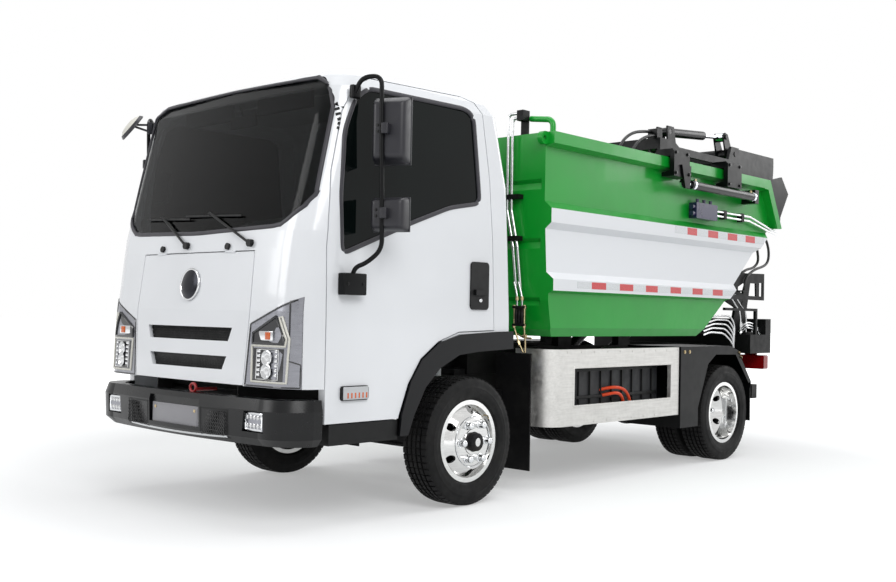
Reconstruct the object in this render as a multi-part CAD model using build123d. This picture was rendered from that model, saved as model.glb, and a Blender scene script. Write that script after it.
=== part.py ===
from build123d import *
import math
import os

# Battery-electric hopper refuse truck. All sizes are millimetres.
# Stations run rearward from the front axle, X points to the driver's side, Z up from the ground.

# Whole truck
WHEELBASE = 3050
FRONT_END = -1420
REAR_END = 4080
MIDDLE = (FRONT_END + REAR_END) / 2
FIT = 0.3
SEAM = 6

# Wheels
TYRE_R = 376
TYRE_W = 205
TREAD_W = 168
BEAD_R = 222
BEAD_W = 150
RIM_FLANGE_R = 240
RIM_WALL = 8
DISC_OFFSET = 117.5
DISC_WALL = 12
STUD_CIRCLE_R = 111
STUD_COUNT = 6
HAND_HOLE_R = 24
HAND_HOLE_CIRCLE_R = 178
HUB_R = 76
NUT_R = 17
WHEEL_X = 825
KINGPIN_X = 660
KINGPIN_R = 17

# Chassis
RAIL_X = 355
RAIL_W = 70
RAIL_H = 160
RAIL_WALL = 7
RAIL_TOP = 720
RAIL_FRONT = -1270
RAIL_REAR = 3700
CROSSMEMBERS = (-1150, -560, 380, 1150, 1850, 2480, 3480)
REST_TOP = 900
REST_PADS = (700, 1550, 2330)
GUARD_X = 930
GUARD = (912, 2318, 401, 901)
GUARD_WINDOW = (1000, 2214, 527, 782)
TOWER_X = 640
REAR_BEAM_END = 4075

# Cab
CAB_HALF = 930
CAB_WALL = 60
DOOR_WALL = 50
CAB_FLOOR = 800
CAB_SKIRT = 545
CAB_FRONT_SKIRT = 723
BUMPER_WALL = 70
ROOF_TOP = 2420
FLAP_WALL = 30
FLAP_TOP = 1432
FLAP_HINGE = (-1297, 1429)
DOOR_FRONT = -1135
BUMPER_END = -1142
GLASS_WALL = 6
GLASS_DEPTH = 8
MIRROR_TUBE_X = 1100
REAR_WINDOW = [(-560, 1560), (560, 1560), (560, 2120), (-560, 2120)]
# low edge, high edge, half width at the top, half width at the bottom
SLOTS = ((951, 1023, 405, 376), (800, 871, 369, 335))
# height, front station, rear station, side shrink, front corner radius
CAB_LEVELS = (
    (300, -1330, 362, 0, 195),
    (721, -1348, 358, 0, 195),
    (1115, -1334, 350, 0, 195),
    (1440, -1298, 330, 0, 195),
    (1530, -1284, 324, 0, 190),
    (1883, -1198, 299, 0, 180),
    (2300, -1095, 190, 8, 160),
    (2362, -1060, 120, 28, 150),
    (2400, -1000, 30, 70, 140),
    (ROOF_TOP, -900, -90, 150, 130),
)

# Hopper
TUB_PANEL_X = 897
TUB_RAIL_X = 965
TUB_INNER_X = 876
TUB_FRONT = 700
TUB_TOP = 2291
TUB_FLOOR = 985
TUB_WALL = 24
TUB_RAIL_H = 75
TIP_PIVOT = (3800, 1250)
TIP_PIN_R = 25
LIFT_X = 210
LIFT_BASE = (2200, 660)
LIFT_EYE = (3290, 1370)
LIFT_PIN_R = 22
FRONT_GROOVES = (1965, 1585, 1205)
# x and height down one side of the hopper
HOPPER_SIDE = (
    (TUB_RAIL_X, TUB_TOP), (TUB_RAIL_X, TUB_TOP - TUB_RAIL_H), (TUB_PANEL_X, 2200), (TUB_PANEL_X, 1850),
    (952, 1803), (952, 1712), (904, 1673), (918, 1396), (975, 1352), (975, 1278), (938, 1262), (932, 1040), (905, TUB_FLOOR),
)

# Packer
SHOVEL_PIVOT = (3200, 2455)
SHOVEL_R = 762
SHOVEL_ARC = (-50, -20, 4.5)
SHOVEL_HALF = 862
SHOVEL_PIN_R = 20
SHOVEL_EYE = (3140, 2592)
SHOVEL_BASE = (2288, 2518)
SIDE_CYL_X = 1000
SIDE_CYL_Z = 2112
SIDE_PIN = 2230
SIDE_BARREL_END = 3330
SHOVEL_CYL_X = 800
SIDE_ROD_R = 16
EYE_HALF = 32
HOSE_R = 11
# x, station, height of each hose's route
CARRIAGE_HOSES = (
    ((797, 2089.5, 2492), (797, 2000, 2484), (797, 1886, 2462), (797, 1780, 2416), (797, 1700, 2345), (797, 1668, 2250),
     (797, 1705, 2160), (797, 1800, 2112), (797, 1910, 2122), (797, 2000, 2180), (797, 2062, 2270), (797, 2085, 2359.5)),
    ((833, 2089.5, 2460), (833, 2030, 2452), (833, 1945, 2425), (833, 1860, 2378), (833, 1795, 2308), (833, 1772, 2225),
     (833, 1805, 2150), (833, 1880, 2112), (833, 1965, 2130), (833, 2040, 2185), (833, 2100, 2270), (833, 2125, 2359.5)),
)
REAR_HOSES = (
    ((775, 3822, 1870), (775, 3830, 1800), (775, 3860, 1700), (775, 3870, 1630), (775, 3800, 1570), (775, 3690, 1545),
     (775, 3580, 1505), (775, 3510, 1450), (775, 3494, 1360.5)),
    ((822, 3880, 1884), (822, 3925, 1800), (822, 3972, 1710), (822, 3960, 1630), (822, 3880, 1580), (822, 3760, 1552),
     (822, 3650, 1515), (822, 3565, 1460), (822, 3542, 1360.5)),
)
# x and top height of each steel pipe before the front wall
FRONT_PIPES = ((620, 2425), (655, 2395))
PIPE_STATION = 662
# x, station and height of both pipes along the side
SIDE_PIPES = (
    ((930, 2840, 1960), (930, 3410, 1960), (930, 3790, 1882), (930, 3905, 1868)),
    ((930, 2840, 1925), (930, 3390, 1925), (930, 3740, 1866), (930, 3890, 1842)),
)
# pivot x, elbow x, blade ends
WIPERS = ((-76, -397, -579, -100), (493, 89, -153, 373))
NOZZLES = (-324, 304)


def block(x0, x1, y0, y1, z0, z1):
    """A box between two corners."""
    return Pos((x0 + x1) / 2, (y0 + y1) / 2, (z0 + z1) / 2) * Box(x1 - x0, y1 - y0, z1 - z0)


def block_at(x, y, z, width, depth, height):
    """A box about its centre."""
    return Pos(x, y, z) * Box(width, depth, height)


def side_prism(points, x0, x1):
    """A side outline of (station, height) points, as thick as x0 to x1."""
    face = make_face(Polyline([(x0, y, z) for y, z in points], close=True))
    return extrude(face, amount=x1 - x0, dir=(1, 0, 0))


def front_prism(points, y0, y1):
    """A front outline of (x, height) points, as deep as y0 to y1."""
    face = make_face(Polyline([(x, y0, z) for x, z in points], close=True))
    return extrude(face, amount=y1 - y0, dir=(0, 1, 0))


def rounded_front_prism(points, radius, y0, y1):
    """A front outline with every corner rounded."""
    face = make_face(FilletPolyline([(x, y0, z) for x, z in points], radius=radius, close=True))
    return extrude(face, amount=y1 - y0, dir=(0, 1, 0))


def bar(start, end, radius):
    """A round bar between two points."""
    way = Vector(*end) - Vector(*start)
    plane = Plane(origin=start, z_dir=way)
    return plane * Cylinder(radius, way.length, align=(Align.CENTER, Align.CENTER, Align.MIN))


def bent_tube(points, radius, bend):
    """A round tube that follows straight runs with equal bends."""
    path = FilletPolyline(*points, radius=bend)
    plane = Plane(origin=points[0], z_dir=Vector(*points[1]) - Vector(*points[0]))
    return sweep(plane * Circle(radius), path=path)


def mirrored(shape):
    """The same piece on the other side of the truck."""
    return mirror(shape, about=Plane.YZ)


def both(shape):
    """A piece and its twin on the other side."""
    return [shape, mirrored(shape)]


SIDES = {"left": lambda shape: shape, "right": mirrored}


def save(name, *pieces):
    """Write one node, with its station moved to the truck's middle."""
    solids = [solid for piece in pieces for solid in piece.solids()]
    node = Compound(solids).moved(Location((0, -MIDDLE, 0)))
    export_step(node, f"parts/{name}.step")


# ---- wheels -------------------------------------------------------------------------------

def tyre():
    """Tyre about the X axis, centred on X = 0."""
    half_bead, half_tread, half = BEAD_W / 2, TREAD_W / 2, TYRE_W / 2
    shoulder = TYRE_R - 9
    right = [
        Line((half_bead, BEAD_R), (half_bead, RIM_FLANGE_R + 4)),
        ThreePointArc((half_bead, RIM_FLANGE_R + 4), (half, 302), (half_tread + 8, shoulder)),
        Line((half_tread + 8, shoulder), (half_tread - 8, TYRE_R)),
    ]
    left = [mirror(edge, about=Plane.YZ) for edge in right]
    tread = Line((half_tread - 8, TYRE_R), (-half_tread + 8, TYRE_R))
    bead = Line((-half_bead, BEAD_R), (half_bead, BEAD_R))
    return revolve(make_face([*right, *left, tread, bead]), axis=Axis.X)


def rim_shell():
    """Barrel and both flanges, centred on X = 0."""
    seat, edge = BEAD_W / 2 + FIT, BEAD_W / 2 + FIT + RIM_WALL
    top, bead, inside = RIM_FLANGE_R, BEAD_R - FIT, BEAD_R - RIM_WALL
    outline = [
        (-edge, top), (-seat, top), (-seat, bead), (seat, bead),
        (seat, top), (edge, top), (edge, inside), (-edge, inside),
    ]
    return revolve(make_face(Polyline(outline, close=True)), axis=Axis.X)


def rim_disc():
    """Dished disc whose mounting face looks along +X."""
    face, well, inside = DISC_OFFSET, DISC_OFFSET - 62, BEAD_R - RIM_WALL + 1
    outline = [
        (well - DISC_WALL, inside),
        (well + 4, inside),
        (face - 14, HAND_HOLE_CIRCLE_R - 14),
        (face, STUD_CIRCLE_R + 22),
        (face, HUB_R),
        (face - DISC_WALL, HUB_R),
        (face - DISC_WALL, STUD_CIRCLE_R + 18),
        (face - DISC_WALL - 16, HAND_HOLE_CIRCLE_R - 20),
    ]
    disc = revolve(make_face(Polyline(outline, close=True)), axis=Axis.X)
    for index in range(STUD_COUNT):
        turn = Rot(360 / STUD_COUNT * index, 0, 0)
        disc -= turn * Pos(0, 0, HAND_HOLE_CIRCLE_R + 6) * Rot(0, 90, 0) * Cylinder(HAND_HOLE_R, 400)
    return disc


def nuts_and_hub(seat, depth):
    """Six wheel nuts on the face at X = seat, and the hub that fills the disc's bore."""
    piece = Pos(seat - depth, 0, 0) * axial(HUB_R + 0.1, HUB_R + 0.1, depth + 5)
    piece += Pos(seat + 4, 0, 0) * axial(HUB_R - 22, HUB_R - 34, 34)
    for index in range(STUD_COUNT):
        turn = Rot(360 / STUD_COUNT * (index + 0.5), 0, 0)
        piece += turn * Pos(seat - 2, 0, STUD_CIRCLE_R) * Rot(0, 90, 0) * extrude(RegularPolygon(NUT_R, 6), amount=34)
    return piece


def axial(start_r, end_r, length):
    """A cone or cylinder along +X from X = 0."""
    align = (Align.CENTER, Align.CENTER, Align.MIN)
    if start_r == end_r:
        return Rot(0, 90, 0) * Cylinder(start_r, length, align=align)
    return Rot(0, 90, 0) * Cone(start_r, end_r, length, align=align)


def wheels():
    """Two steered single wheels and two twin pairs."""
    single = Pos(WHEEL_X, 0, TYRE_R)
    outer = Pos(WHEEL_X, WHEELBASE, TYRE_R)
    inner = Pos(WHEEL_X - 2 * DISC_OFFSET, WHEELBASE, TYRE_R)
    front_tyre = single * tyre()
    front_rim = single * (rim_shell() + rim_disc() + nuts_and_hub(DISC_OFFSET, DISC_WALL))
    rear_tyres = [outer * tyre(), inner * tyre()]
    rear_rims = outer * (rim_shell() + mirrored(rim_disc()) + nuts_and_hub(DISC_WALL - DISC_OFFSET, 120))
    rear_rims += inner * (rim_shell() + rim_disc())
    for side, place in SIDES.items():
        save(f"front_tyre_{side}", place(front_tyre))
        save(f"front_rim_{side}", place(front_rim))
        save(f"rear_tyres_{side}", *[place(shape) for shape in rear_tyres])
        save(f"rear_rims_{side}", place(rear_rims))


# ---- chassis ------------------------------------------------------------------------------

def rails():
    """Two channel rails, open inwards."""
    x0, x1 = RAIL_X - RAIL_W / 2, RAIL_X + RAIL_W / 2
    low = RAIL_TOP - RAIL_H
    rail = block(x0, x1, RAIL_FRONT, RAIL_REAR, low, RAIL_TOP)
    rail -= block(x0 - 1, x1 - RAIL_WALL, RAIL_FRONT - 1, RAIL_REAR + 1, low + RAIL_WALL, RAIL_TOP - RAIL_WALL)
    return rail


def crossmembers():
    """Tubular crossmembers between the rail webs."""
    web = RAIL_X + RAIL_W / 2 - RAIL_WALL
    mid = RAIL_TOP - RAIL_H / 2
    return [bar((-web, y, mid), (web, y, mid), 38) for y in CROSSMEMBERS]


def tub_rests():
    """Two subframe beams on the rails, with cross beams, that the hopper lies on."""
    x0, x1 = RAIL_X - 30, RAIL_X + 30
    beam = block(x0, x1, 560, 2560, RAIL_TOP, REST_TOP)
    pads = [block(x0, x1, y, y + 160, REST_TOP, TUB_FLOOR - FIT) for y in REST_PADS]
    side = beam
    for pad in pads:
        side += pad
    cross = [block(-x0, x0, y, y + 80, RAIL_TOP + 40, REST_TOP - 20) for y in (620, 1400, 2040)]
    frame = side + mirrored(side)
    for piece in cross:
        frame += piece
    return frame


def front_axle():
    """Dropped I-beam axle with kingpin eyes and kingpins."""
    half = KINGPIN_X
    outline = [
        (-half, 330), (-half, 420), (-half + 40, 420), (-half + 110, 372),
        (half - 110, 372), (half - 40, 420), (half, 420), (half, 330),
        (half - 60, 330), (half - 120, 296), (-half + 120, 296), (-half + 60, 330),
    ]
    beam = front_prism(outline, -38, 38)
    for side in (-1, 1):
        beam += bar((side * half, 0, 330), (side * half, 0, 420), 2 * KINGPIN_R)
        beam += bar((side * half, 0, 290), (side * half, 0, 462), KINGPIN_R)
    web = front_prism([(-500, 312), (-500, 356), (500, 356), (500, 312)], -60, 60)
    beam -= web - block(-500, 500, -14, 14, 300, 380)
    return beam


def leaf_springs():
    """Four packs of three leaves, bowed down, with hangers to the rails."""
    packs = []
    for station, seat_z, length, bow in ((0, 372, 1150, 90), (WHEELBASE, TYRE_R + 62, 1250, 55)):
        leaves = None
        for count, share in enumerate((1.0, 0.78, 0.55)):
            half = length / 2 * share
            rise = bow * share * share
            top = seat_z + 34 + 13 - 12 * count
            outer = ThreePointArc((0, station - half, top + rise), (0, station, top), (0, station + half, top + rise))
            inner = ThreePointArc(
                (0, station + half, top + rise - 11.9), (0, station, top - 11.9), (0, station - half, top + rise - 11.9)
            )
            ends = [Line(outer @ 1, inner @ 0), Line(inner @ 1, outer @ 0)]
            leaf = extrude(make_face([outer, inner, *ends]), amount=60, dir=(1, 0, 0))
            leaves = leaf if leaves is None else leaves + leaf
        leaves += block(0, 60, station - 60, station + 60, seat_z, seat_z + 60)
        low = RAIL_TOP - RAIL_H
        for end in (-1, 1):
            tip = station + end * (length / 2 - 20)
            leaves += block(0, 60, tip - 25, tip + 25, seat_z + 30 + bow, low)
        packs += both(Pos(RAIL_X - 30, 0, 0) * leaves)
    return packs


def rear_axle():
    """Axle tube, gear housing and drive motor."""
    hub = WHEEL_X - DISC_OFFSET + DISC_WALL - 120
    axle = bar((-470, WHEELBASE, TYRE_R), (470, WHEELBASE, TYRE_R), 62)
    axle += bar((FIT - hub, WHEELBASE, TYRE_R), (hub - FIT, WHEELBASE, TYRE_R), 50)
    axle += Pos(0, WHEELBASE, TYRE_R) * Sphere(165)
    axle += bar((60, WHEELBASE - 120, TYRE_R + 20), (60, WHEELBASE - 520, TYRE_R + 40), 130)
    return axle


def knuckle():
    """Steering knuckle: fork round the axle eye, brake drum plate and spindle to the hub."""
    k = KINGPIN_X
    fork = block(k - 34, k + 62, -34, 34, 292, 329.5) + block(k - 34, k + 62, -34, 34, 420.5, 460)
    fork += block(k + 37, k + 62, -50, 50, 292, 460)
    fork += Pos(k + 60, 0, TYRE_R) * axial(120, 120, 34)
    fork += Pos(k + 94, 0, TYRE_R) * axial(150, 150, 60)
    fork += Pos(k + 154, 0, TYRE_R) * axial(42, 42, WHEEL_X + DISC_OFFSET - DISC_WALL - 0.5 - k - 154)
    fork -= bar((k, 0, 280), (k, 0, 470), KINGPIN_R + 0.5)
    fork += block(k - 30, k + 10, 30, 150, 296, 320)
    return fork


def chassis():
    save("chassis_rails", *both(rails()))
    save("crossmembers", *crossmembers(), *both(bumper_bracket()))
    save("hopper_rests", tub_rests(), lift_cradle())
    save("front_axle", front_axle())
    save("rear_axle", rear_axle())
    save("leaf_springs", *leaf_springs())
    for side, place in SIDES.items():
        save(f"knuckle_{side}", place(knuckle()))
    battery = fillet(block(430, 820, 960, 2190, 430, 850).edges().filter_by(Axis.Y), 20)
    for y in (1150, 1950):
        battery += block(RAIL_X + RAIL_W / 2 + FIT, 440, y, y + 60, 600, 700)
    save("battery_packs", *both(battery))
    pack = fillet(block(-290, 290, 420, 545, 740, 1180).edges(), 15)
    save("hydraulic_pack", pack + block(-390, 390, 430, 535, RAIL_TOP + FIT, 760))


def bumper_bracket():
    """Stub between a rail's end and the back of the bumper."""
    stub = block(RAIL_X - 30, RAIL_X + 30, FRONT_END, RAIL_FRONT, 580, 660)
    return stub - (bumper_form(0) - bumper_form(BUMPER_WALL)) - block(0, 1000, FRONT_END - 10, FRONT_END + BUMPER_WALL - 1, 400, 700)


def lift_cradle():
    """Crossmember with a pair of ears for each tipping cylinder's base pin."""
    y, z = LIFT_BASE
    cradle = block(LIFT_X - 66, LIFT_X - 50, y - 60, y + 60, z - 60, z + 50)
    cradle += block(LIFT_X + 50, LIFT_X + 66, y - 60, y + 60, z - 60, z + 50)
    cradle -= bar((LIFT_X - 70, y, z), (LIFT_X + 70, y, z), LIFT_PIN_R + 0.5)
    web = RAIL_X + RAIL_W / 2 - RAIL_WALL
    return block(-web, web, y - 60, y + 60, z - 90, z - 60) + cradle + mirrored(cradle)


def side_guards():
    """Silver frame either side of the battery, with its front corner rounded in plan."""
    frame = block(GUARD_X - 34, GUARD_X, GUARD[0], GUARD[1], GUARD[2], GUARD[3])
    frame -= block(GUARD_X - 40, GUARD_X + 1, GUARD_WINDOW[0], GUARD_WINDOW[1], GUARD_WINDOW[2], GUARD_WINDOW[3])
    corner = block(GUARD_X - 300, GUARD_X, GUARD[0] - 150, GUARD[0], GUARD[2], GUARD[3])
    corner = fillet(corner.edges().filter_by(Axis.Z).sort_by(Axis.X)[-2:].sort_by(Axis.Y)[:1], 140)
    hollow = block(GUARD_X - 320, GUARD_X - 34, GUARD[0] - 116, GUARD[0] + 120, GUARD[2] - 1, GUARD[3] + 1)
    hollow = fillet(hollow.edges().filter_by(Axis.Z).sort_by(Axis.X)[-2:].sort_by(Axis.Y)[:1], 106)
    frame += corner - hollow
    for y in (1100, 2100):
        frame += block(RAIL_X + 30 + FIT, GUARD_X - 34, y, y + 40, 862, 890)
    return frame


def rear_fender():
    """Folded plate over the twin wheels, a flat front panel and a mudflap bracket."""
    outer = [(2330, 300), (2330, 905), (3090, 905), (3215, 868), (3445, 612), (3445, 560)]
    inner = [(3441, 560), (3441, 610), (3213, 864), (3089, 901), (2334, 901), (2334, 300)]
    skin = side_prism(outer + inner, 470, 940)
    arch = [(2332, 905), (3090, 905), (3215, 868), (3445, 612), (3405, 600), (3180, 835), (2860, 840)]
    arch += [(2740, 770), (2590, 440), (2590, 300), (2332, 300)]
    skin += side_prism(arch, 936, 940)
    skin += side_prism([(3437, 612), (3445, 612), (3445, 290), (3437, 290)], 520, 935)
    for y in (2500, 3300):
        skin += block(RAIL_X + RAIL_W / 2, 480, y, y + 50, 660, 700)
        skin += block(470, 480, y, y + 50, 660, 870 - (y - 2500) * 0.16)
    return skin


def rear_frame():
    """Rear cross beam, the two tipping towers with their pins, and the low guard bar."""
    frame = block(-800, 800, 3700, 3980, 830, 990)
    frame += block(-800, 800, 3980, REAR_BEAM_END, 830, 1125)
    for side in (-1, 1):
        tower = side_prism([(3640, 990), (3980, 990), (3860, 1300), (3740, 1300)], TOWER_X - 12, TOWER_X + 12)
        tower += bar((TOWER_X - 40, *TIP_PIVOT), (TOWER_X + 40, *TIP_PIVOT), TIP_PIN_R)
        frame += tower if side > 0 else mirrored(tower)
    frame += block(-390, 390, 3600, 3700, 830, 900)
    frame += block(-RAIL_X - 35, RAIL_X + 35, 3600, 3700, RAIL_TOP, 830)
    frame += block(-750, 750, 3840, 3930, 440, 560)
    for side in (-1, 1):
        shelf = block(776, 800, 3260, 3825, 1190, 1212) + block(776, 800, 3795, 3825, 990, 1190)
        frame += shelf if side > 0 else mirrored(shelf)
    for side in (-1, 1):
        leg = block(RAIL_X - 20, RAIL_X + 20, 3860, 3910, 560, 830)
        frame += leg if side > 0 else mirrored(leg)
    return frame


def rear_lamp():
    """Lamp cluster under the rear beam."""
    body = fillet(block(520, 790, 3975, 4050, 690, 810).edges().filter_by(Axis.Y), 14)
    return body + block(600, 710, 3990, 4010, 800, 830 - FIT)


# ---- cab ----------------------------------------------------------------------------------

def cab_section(z, front, rear, shrink, corner, inset):
    """One level of the cab: a bowed front, round front corners and tighter rear ones."""
    half = CAB_HALF - shrink - inset
    y_front, y_rear = front + inset, rear - inset
    big, small = max(corner - inset, 40), 45
    bow = 28
    slant = math.sqrt(0.5)
    a = (-half + big, y_front + bow)
    b = (half - big, y_front + bow)
    c = (half, y_front + bow + big)
    d = (half, y_rear - small)
    e = (half - small, y_rear)
    f = (-half + small, y_rear)
    g = (-half, y_rear - small)
    h = (-half, y_front + bow + big)
    mid_right = (half - big + big * slant, y_front + bow + big - big * slant)
    mid_left = (-mid_right[0], mid_right[1])
    rear_mid = (half - small + small * slant, y_rear - small + small * slant)
    edges = [
        ThreePointArc(a, (0, y_front), b),
        ThreePointArc(b, mid_right, c),
        Line(c, d),
        ThreePointArc(d, rear_mid, e),
        Line(e, f),
        ThreePointArc(f, (-rear_mid[0], rear_mid[1]), g),
        Line(g, h),
        ThreePointArc(h, mid_left, a),
    ]
    return Pos(0, 0, z) * make_face(edges)


def cab_body(inset):
    """The cab's outer form, or the form that lies a wall thickness inside it."""
    faces = []
    for z, front, rear, shrink, corner in CAB_LEVELS:
        level = z - inset if z > 2250 else z
        faces.append(cab_section(level, front, rear, shrink, corner, inset))
    return loft(faces, ruled=True)


def arch_prism(grow):
    """Wheel-arch volume right across the cab, grown outward."""
    points = [
        (-585 - grow, 300), (-545 - grow, 962 + grow), (600, 968 + grow), (600, 300),
    ]
    face = make_face(Polyline([(-1000, y, z) for y, z in points], close=True))
    return extrude(face, amount=2000, dir=(1, 0, 0))


def door_prism(gap):
    """Door outline in side view, shrunk by a gap."""
    g = gap
    points = [
        (DOOR_FRONT + g, CAB_SKIRT + 0.1),
        (DOOR_FRONT + g, 1450),
        (-1100 + g, 1840),
        (-1030 + g, 2160),
        (-962 + g, 2300),
        (-850 + g, 2362 - g),
        (-90, 2392 - g),
        (0 - g, 2366 - g),
        (55 - g, 2300),
        (120 - g, 1934),
        (160 - g, 1556),
        (187 - g, 1020 + g),
        (-126, 1010 + g),
        (-300, 955 + g),
        (-440, 860 + g),
        (-530 - g, 730),
        (-595 - g, 565),
        (-600 - g, CAB_SKIRT + 0.1),
    ]
    return side_prism(points, CAB_HALF - 85, CAB_HALF + 60)


def window_prism(gap):
    """Door window outline in side view, shrunk by a gap."""
    g = gap
    points = [
        (-1026 + g, 1425 + g), (-1042 + g, 1720), (-1015 + g, 2055), (-950 + g, 2230), (-865 + g, 2295 - g),
        (-100 - g, 2306 - g), (-30 - g, 2270 - g), (28 - g, 1776 + g), (-224, 1730 + g), (-531, 1620 + g),
    ]
    return side_prism(points, CAB_HALF - 90, CAB_HALF + 60)


def screen_prism(gap):
    """Windscreen outline in front view, corners rounded, shrunk by a gap."""
    g = gap
    half = [(0, 1543 + g), (700, 1562 + g), (868 - g, 1690), (864 - g, 2235), (775 - g, 2358 - g), (0, 2372 - g)]
    other = [(-x, z) for x, z in reversed(half[1:-1])]
    return rounded_front_prism(half + other, 72, -1500, -700)


def flap_prism(gap):
    """Front flap outline in front view, shrunk by a gap."""
    g = gap
    half = [(519 - g, 721 + g), (545 - g, 1115), (530 - g, FLAP_TOP - g)]
    return front_prism(half + [(-x, z) for x, z in reversed(half)], -1500, -1100)


def lamp_prism(gap):
    """Left headlamp outline in front view."""
    g = gap
    points = [(525 + g, 722 + g), (552 + g, 1050), (880 - g, 1190 - g), (888 - g, 722 + g)]
    return front_prism(points, -1500, DOOR_FRONT - 8)


def cab():
    outer = cab_body(0)
    wall = cab_body(CAB_WALL)
    hollow = wall - block(-1000, 1000, -1500, 500, 0, CAB_FLOOR) - arch_prism(CAB_WALL)
    under = (wall & block(-1000, 1000, -1500, 500, 0, CAB_FLOOR - 45)) - arch_prism(0)
    shell = outer - hollow - under - arch_prism(0)
    shell -= block(-1000, 1000, -1500, 500, 0, CAB_SKIRT)
    shell -= block(-1000, 1000, -1500, DOOR_FRONT, 0, CAB_FRONT_SKIRT)
    shell -= block(840, 1000, -1500, -520, 0, CAB_FRONT_SKIRT)
    shell -= block(-1000, -840, -1500, -520, 0, CAB_FRONT_SKIRT)
    shell -= door_prism(0)
    shell -= mirrored(door_prism(0))
    shell -= screen_prism(0)
    shell -= flap_prism(0) - cab_body(FLAP_WALL + 3)
    shell -= lamp_prism(0)
    shell -= mirrored(lamp_prism(0))
    shell -= rounded_front_prism(REAR_WINDOW, 60, 100, 500)
    y, z = FLAP_HINGE
    for side in (-1, 1):
        shell -= bar((side * 330, y, z), (side * 375, y, z), 5.5)
        shell += bar((side * 290, y, z), (side * 330, y, z), 5) + block_at(side * 310, y + 12, z + 4, 36, 24, 6)
        shell += bar((side * 300, y, z), (side * 375, y, z), 2.5)
    mount = block(RAIL_X - 30, RAIL_X + 30, -1190, -1100, RAIL_TOP + FIT, CAB_FLOOR)
    mount += block(RAIL_X - 30, RAIL_X + 30, -720, -640, RAIL_TOP + FIT, CAB_FLOOR)
    mount += block(RAIL_X - 30, RAIL_X + 30, 230, 310, RAIL_TOP + FIT, 980)
    shell += mount
    shell += mirrored(mount)
    save("cab_shell", shell)

    glass_skin = cab_body(GLASS_DEPTH) - cab_body(GLASS_DEPTH + GLASS_WALL)
    small = [(math.copysign(abs(x) - FIT, x), z + (FIT if z < 1800 else -FIT)) for x, z in REAR_WINDOW]
    save("cab_glass", glass_skin & screen_prism(FIT), glass_skin & rounded_front_prism(small, 60, 100, 500))

    door_skin = outer - cab_body(DOOR_WALL) - block(-1000, 1000, -1500, 500, 0, CAB_SKIRT)
    door = (door_skin & door_prism(SEAM)) - window_prism(0)
    glass = glass_skin & window_prism(FIT)
    for side, place in SIDES.items():
        save(f"door_{side}", place(door))
        save(f"door_glass_{side}", place(glass))
        save(f"door_fittings_{side}", place(door_handle()), place(marker_lamp()))
        save(f"mirror_{side}", place(mirror_arm()))

    flap = (outer - cab_body(FLAP_WALL)) & flap_prism(SEAM)
    for low, high, wide, narrow in SLOTS:
        flap -= front_prism([(-narrow, low), (narrow, low), (wide, high), (-wide, high)], -1500, -1100)
    y, z = FLAP_HINGE
    for side in (-1, 1):
        flap -= bar((side * 285, y, z), (side * 330.3, y, z), 5.5)
        flap += bar((side * 330.3, y, z), (side * 370, y, z), 5) + block_at(side * 350, y + 12, z - 6, 36, 24, 6)
        flap -= bar((side * 320, y, z), (side * 380, y, z), 2.6)
    save("front_flap", flap)
    mesh = (cab_body(FLAP_WALL - 6) - cab_body(FLAP_WALL - 2)) & front_prism(
        [(-430, 780), (430, 780), (430, 1045), (-430, 1045)], -1500, -1100
    )
    save("flap_grille", mesh & grille_area())

    lamp = (outer - cab_body(CAB_WALL - 5)) & lamp_prism(2)
    fog = front_prism([(592, 506), (738, 506), (738, 599), (604, 599)], -1368, -1340 - FIT)
    save("front_lamps", *both(lamp), *both(fog))
    save("wheel_arch_flares", *both(flare()))
    step = block(640, 925, -1095, -605, 432, 539)
    for y in (-1050, -700):
        step += block(640, 700, y, y + 50, 530, 610) + block(RAIL_X + RAIL_W / 2, 700, y, y + 50, 590, 630)
    save("cab_steps", *both(step))
    flap_sheet = block(640, 925, 548, 558, 150, 880) + block(RAIL_X + RAIL_W / 2, 700, 540, 548, 590, 640)
    save("front_mudflaps", *both(flap_sheet))


def grille_area():
    """The grille fills only the two slots."""
    area = None
    for low, high, wide, narrow in SLOTS:
        slot = front_prism([(-narrow, low), (narrow, low), (wide, high), (-wide, high)], -1500, -1100)
        area = slot if area is None else area + slot
    return area


def flare():
    """Dark arch lip over the front wheel, open below."""
    outer = [(-605, 450), (-590, 565), (-525, 735), (-437, 860), (-297, 955), (-126, 1000), (200, 1016), (352, 1019)]
    inner = [(352, 913), (31, 899), (-135, 882), (-290, 812), (-409, 706), (-497, 556), (-540, 450)]
    lip = side_prism(outer + inner, CAB_HALF + FIT, CAB_HALF + 15)
    tuck = side_prism([(y - 8, z - 8) for y, z in outer[:-1]] + [(340, 960)] + inner, 880, CAB_HALF + FIT)
    tuck &= arch_prism(-FIT)
    return lip + (tuck - door_prism(-SEAM))


def door_handle():
    """Recessed pull handle in a dark bezel."""
    bezel = block(CAB_HALF + FIT, CAB_HALF + 10, -40, 120, 1145, 1425)
    bezel = fillet(bezel.edges().filter_by(Axis.X), 25)
    grip = block(CAB_HALF + 9, CAB_HALF + 26, -10, 90, 1230, 1262)
    return bezel + grip


def marker_lamp():
    lens = block(CAB_HALF + FIT, CAB_HALF + 14, -1030, -840, 660, 735)
    return fillet(lens.edges().filter_by(Axis.X), 16)


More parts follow.
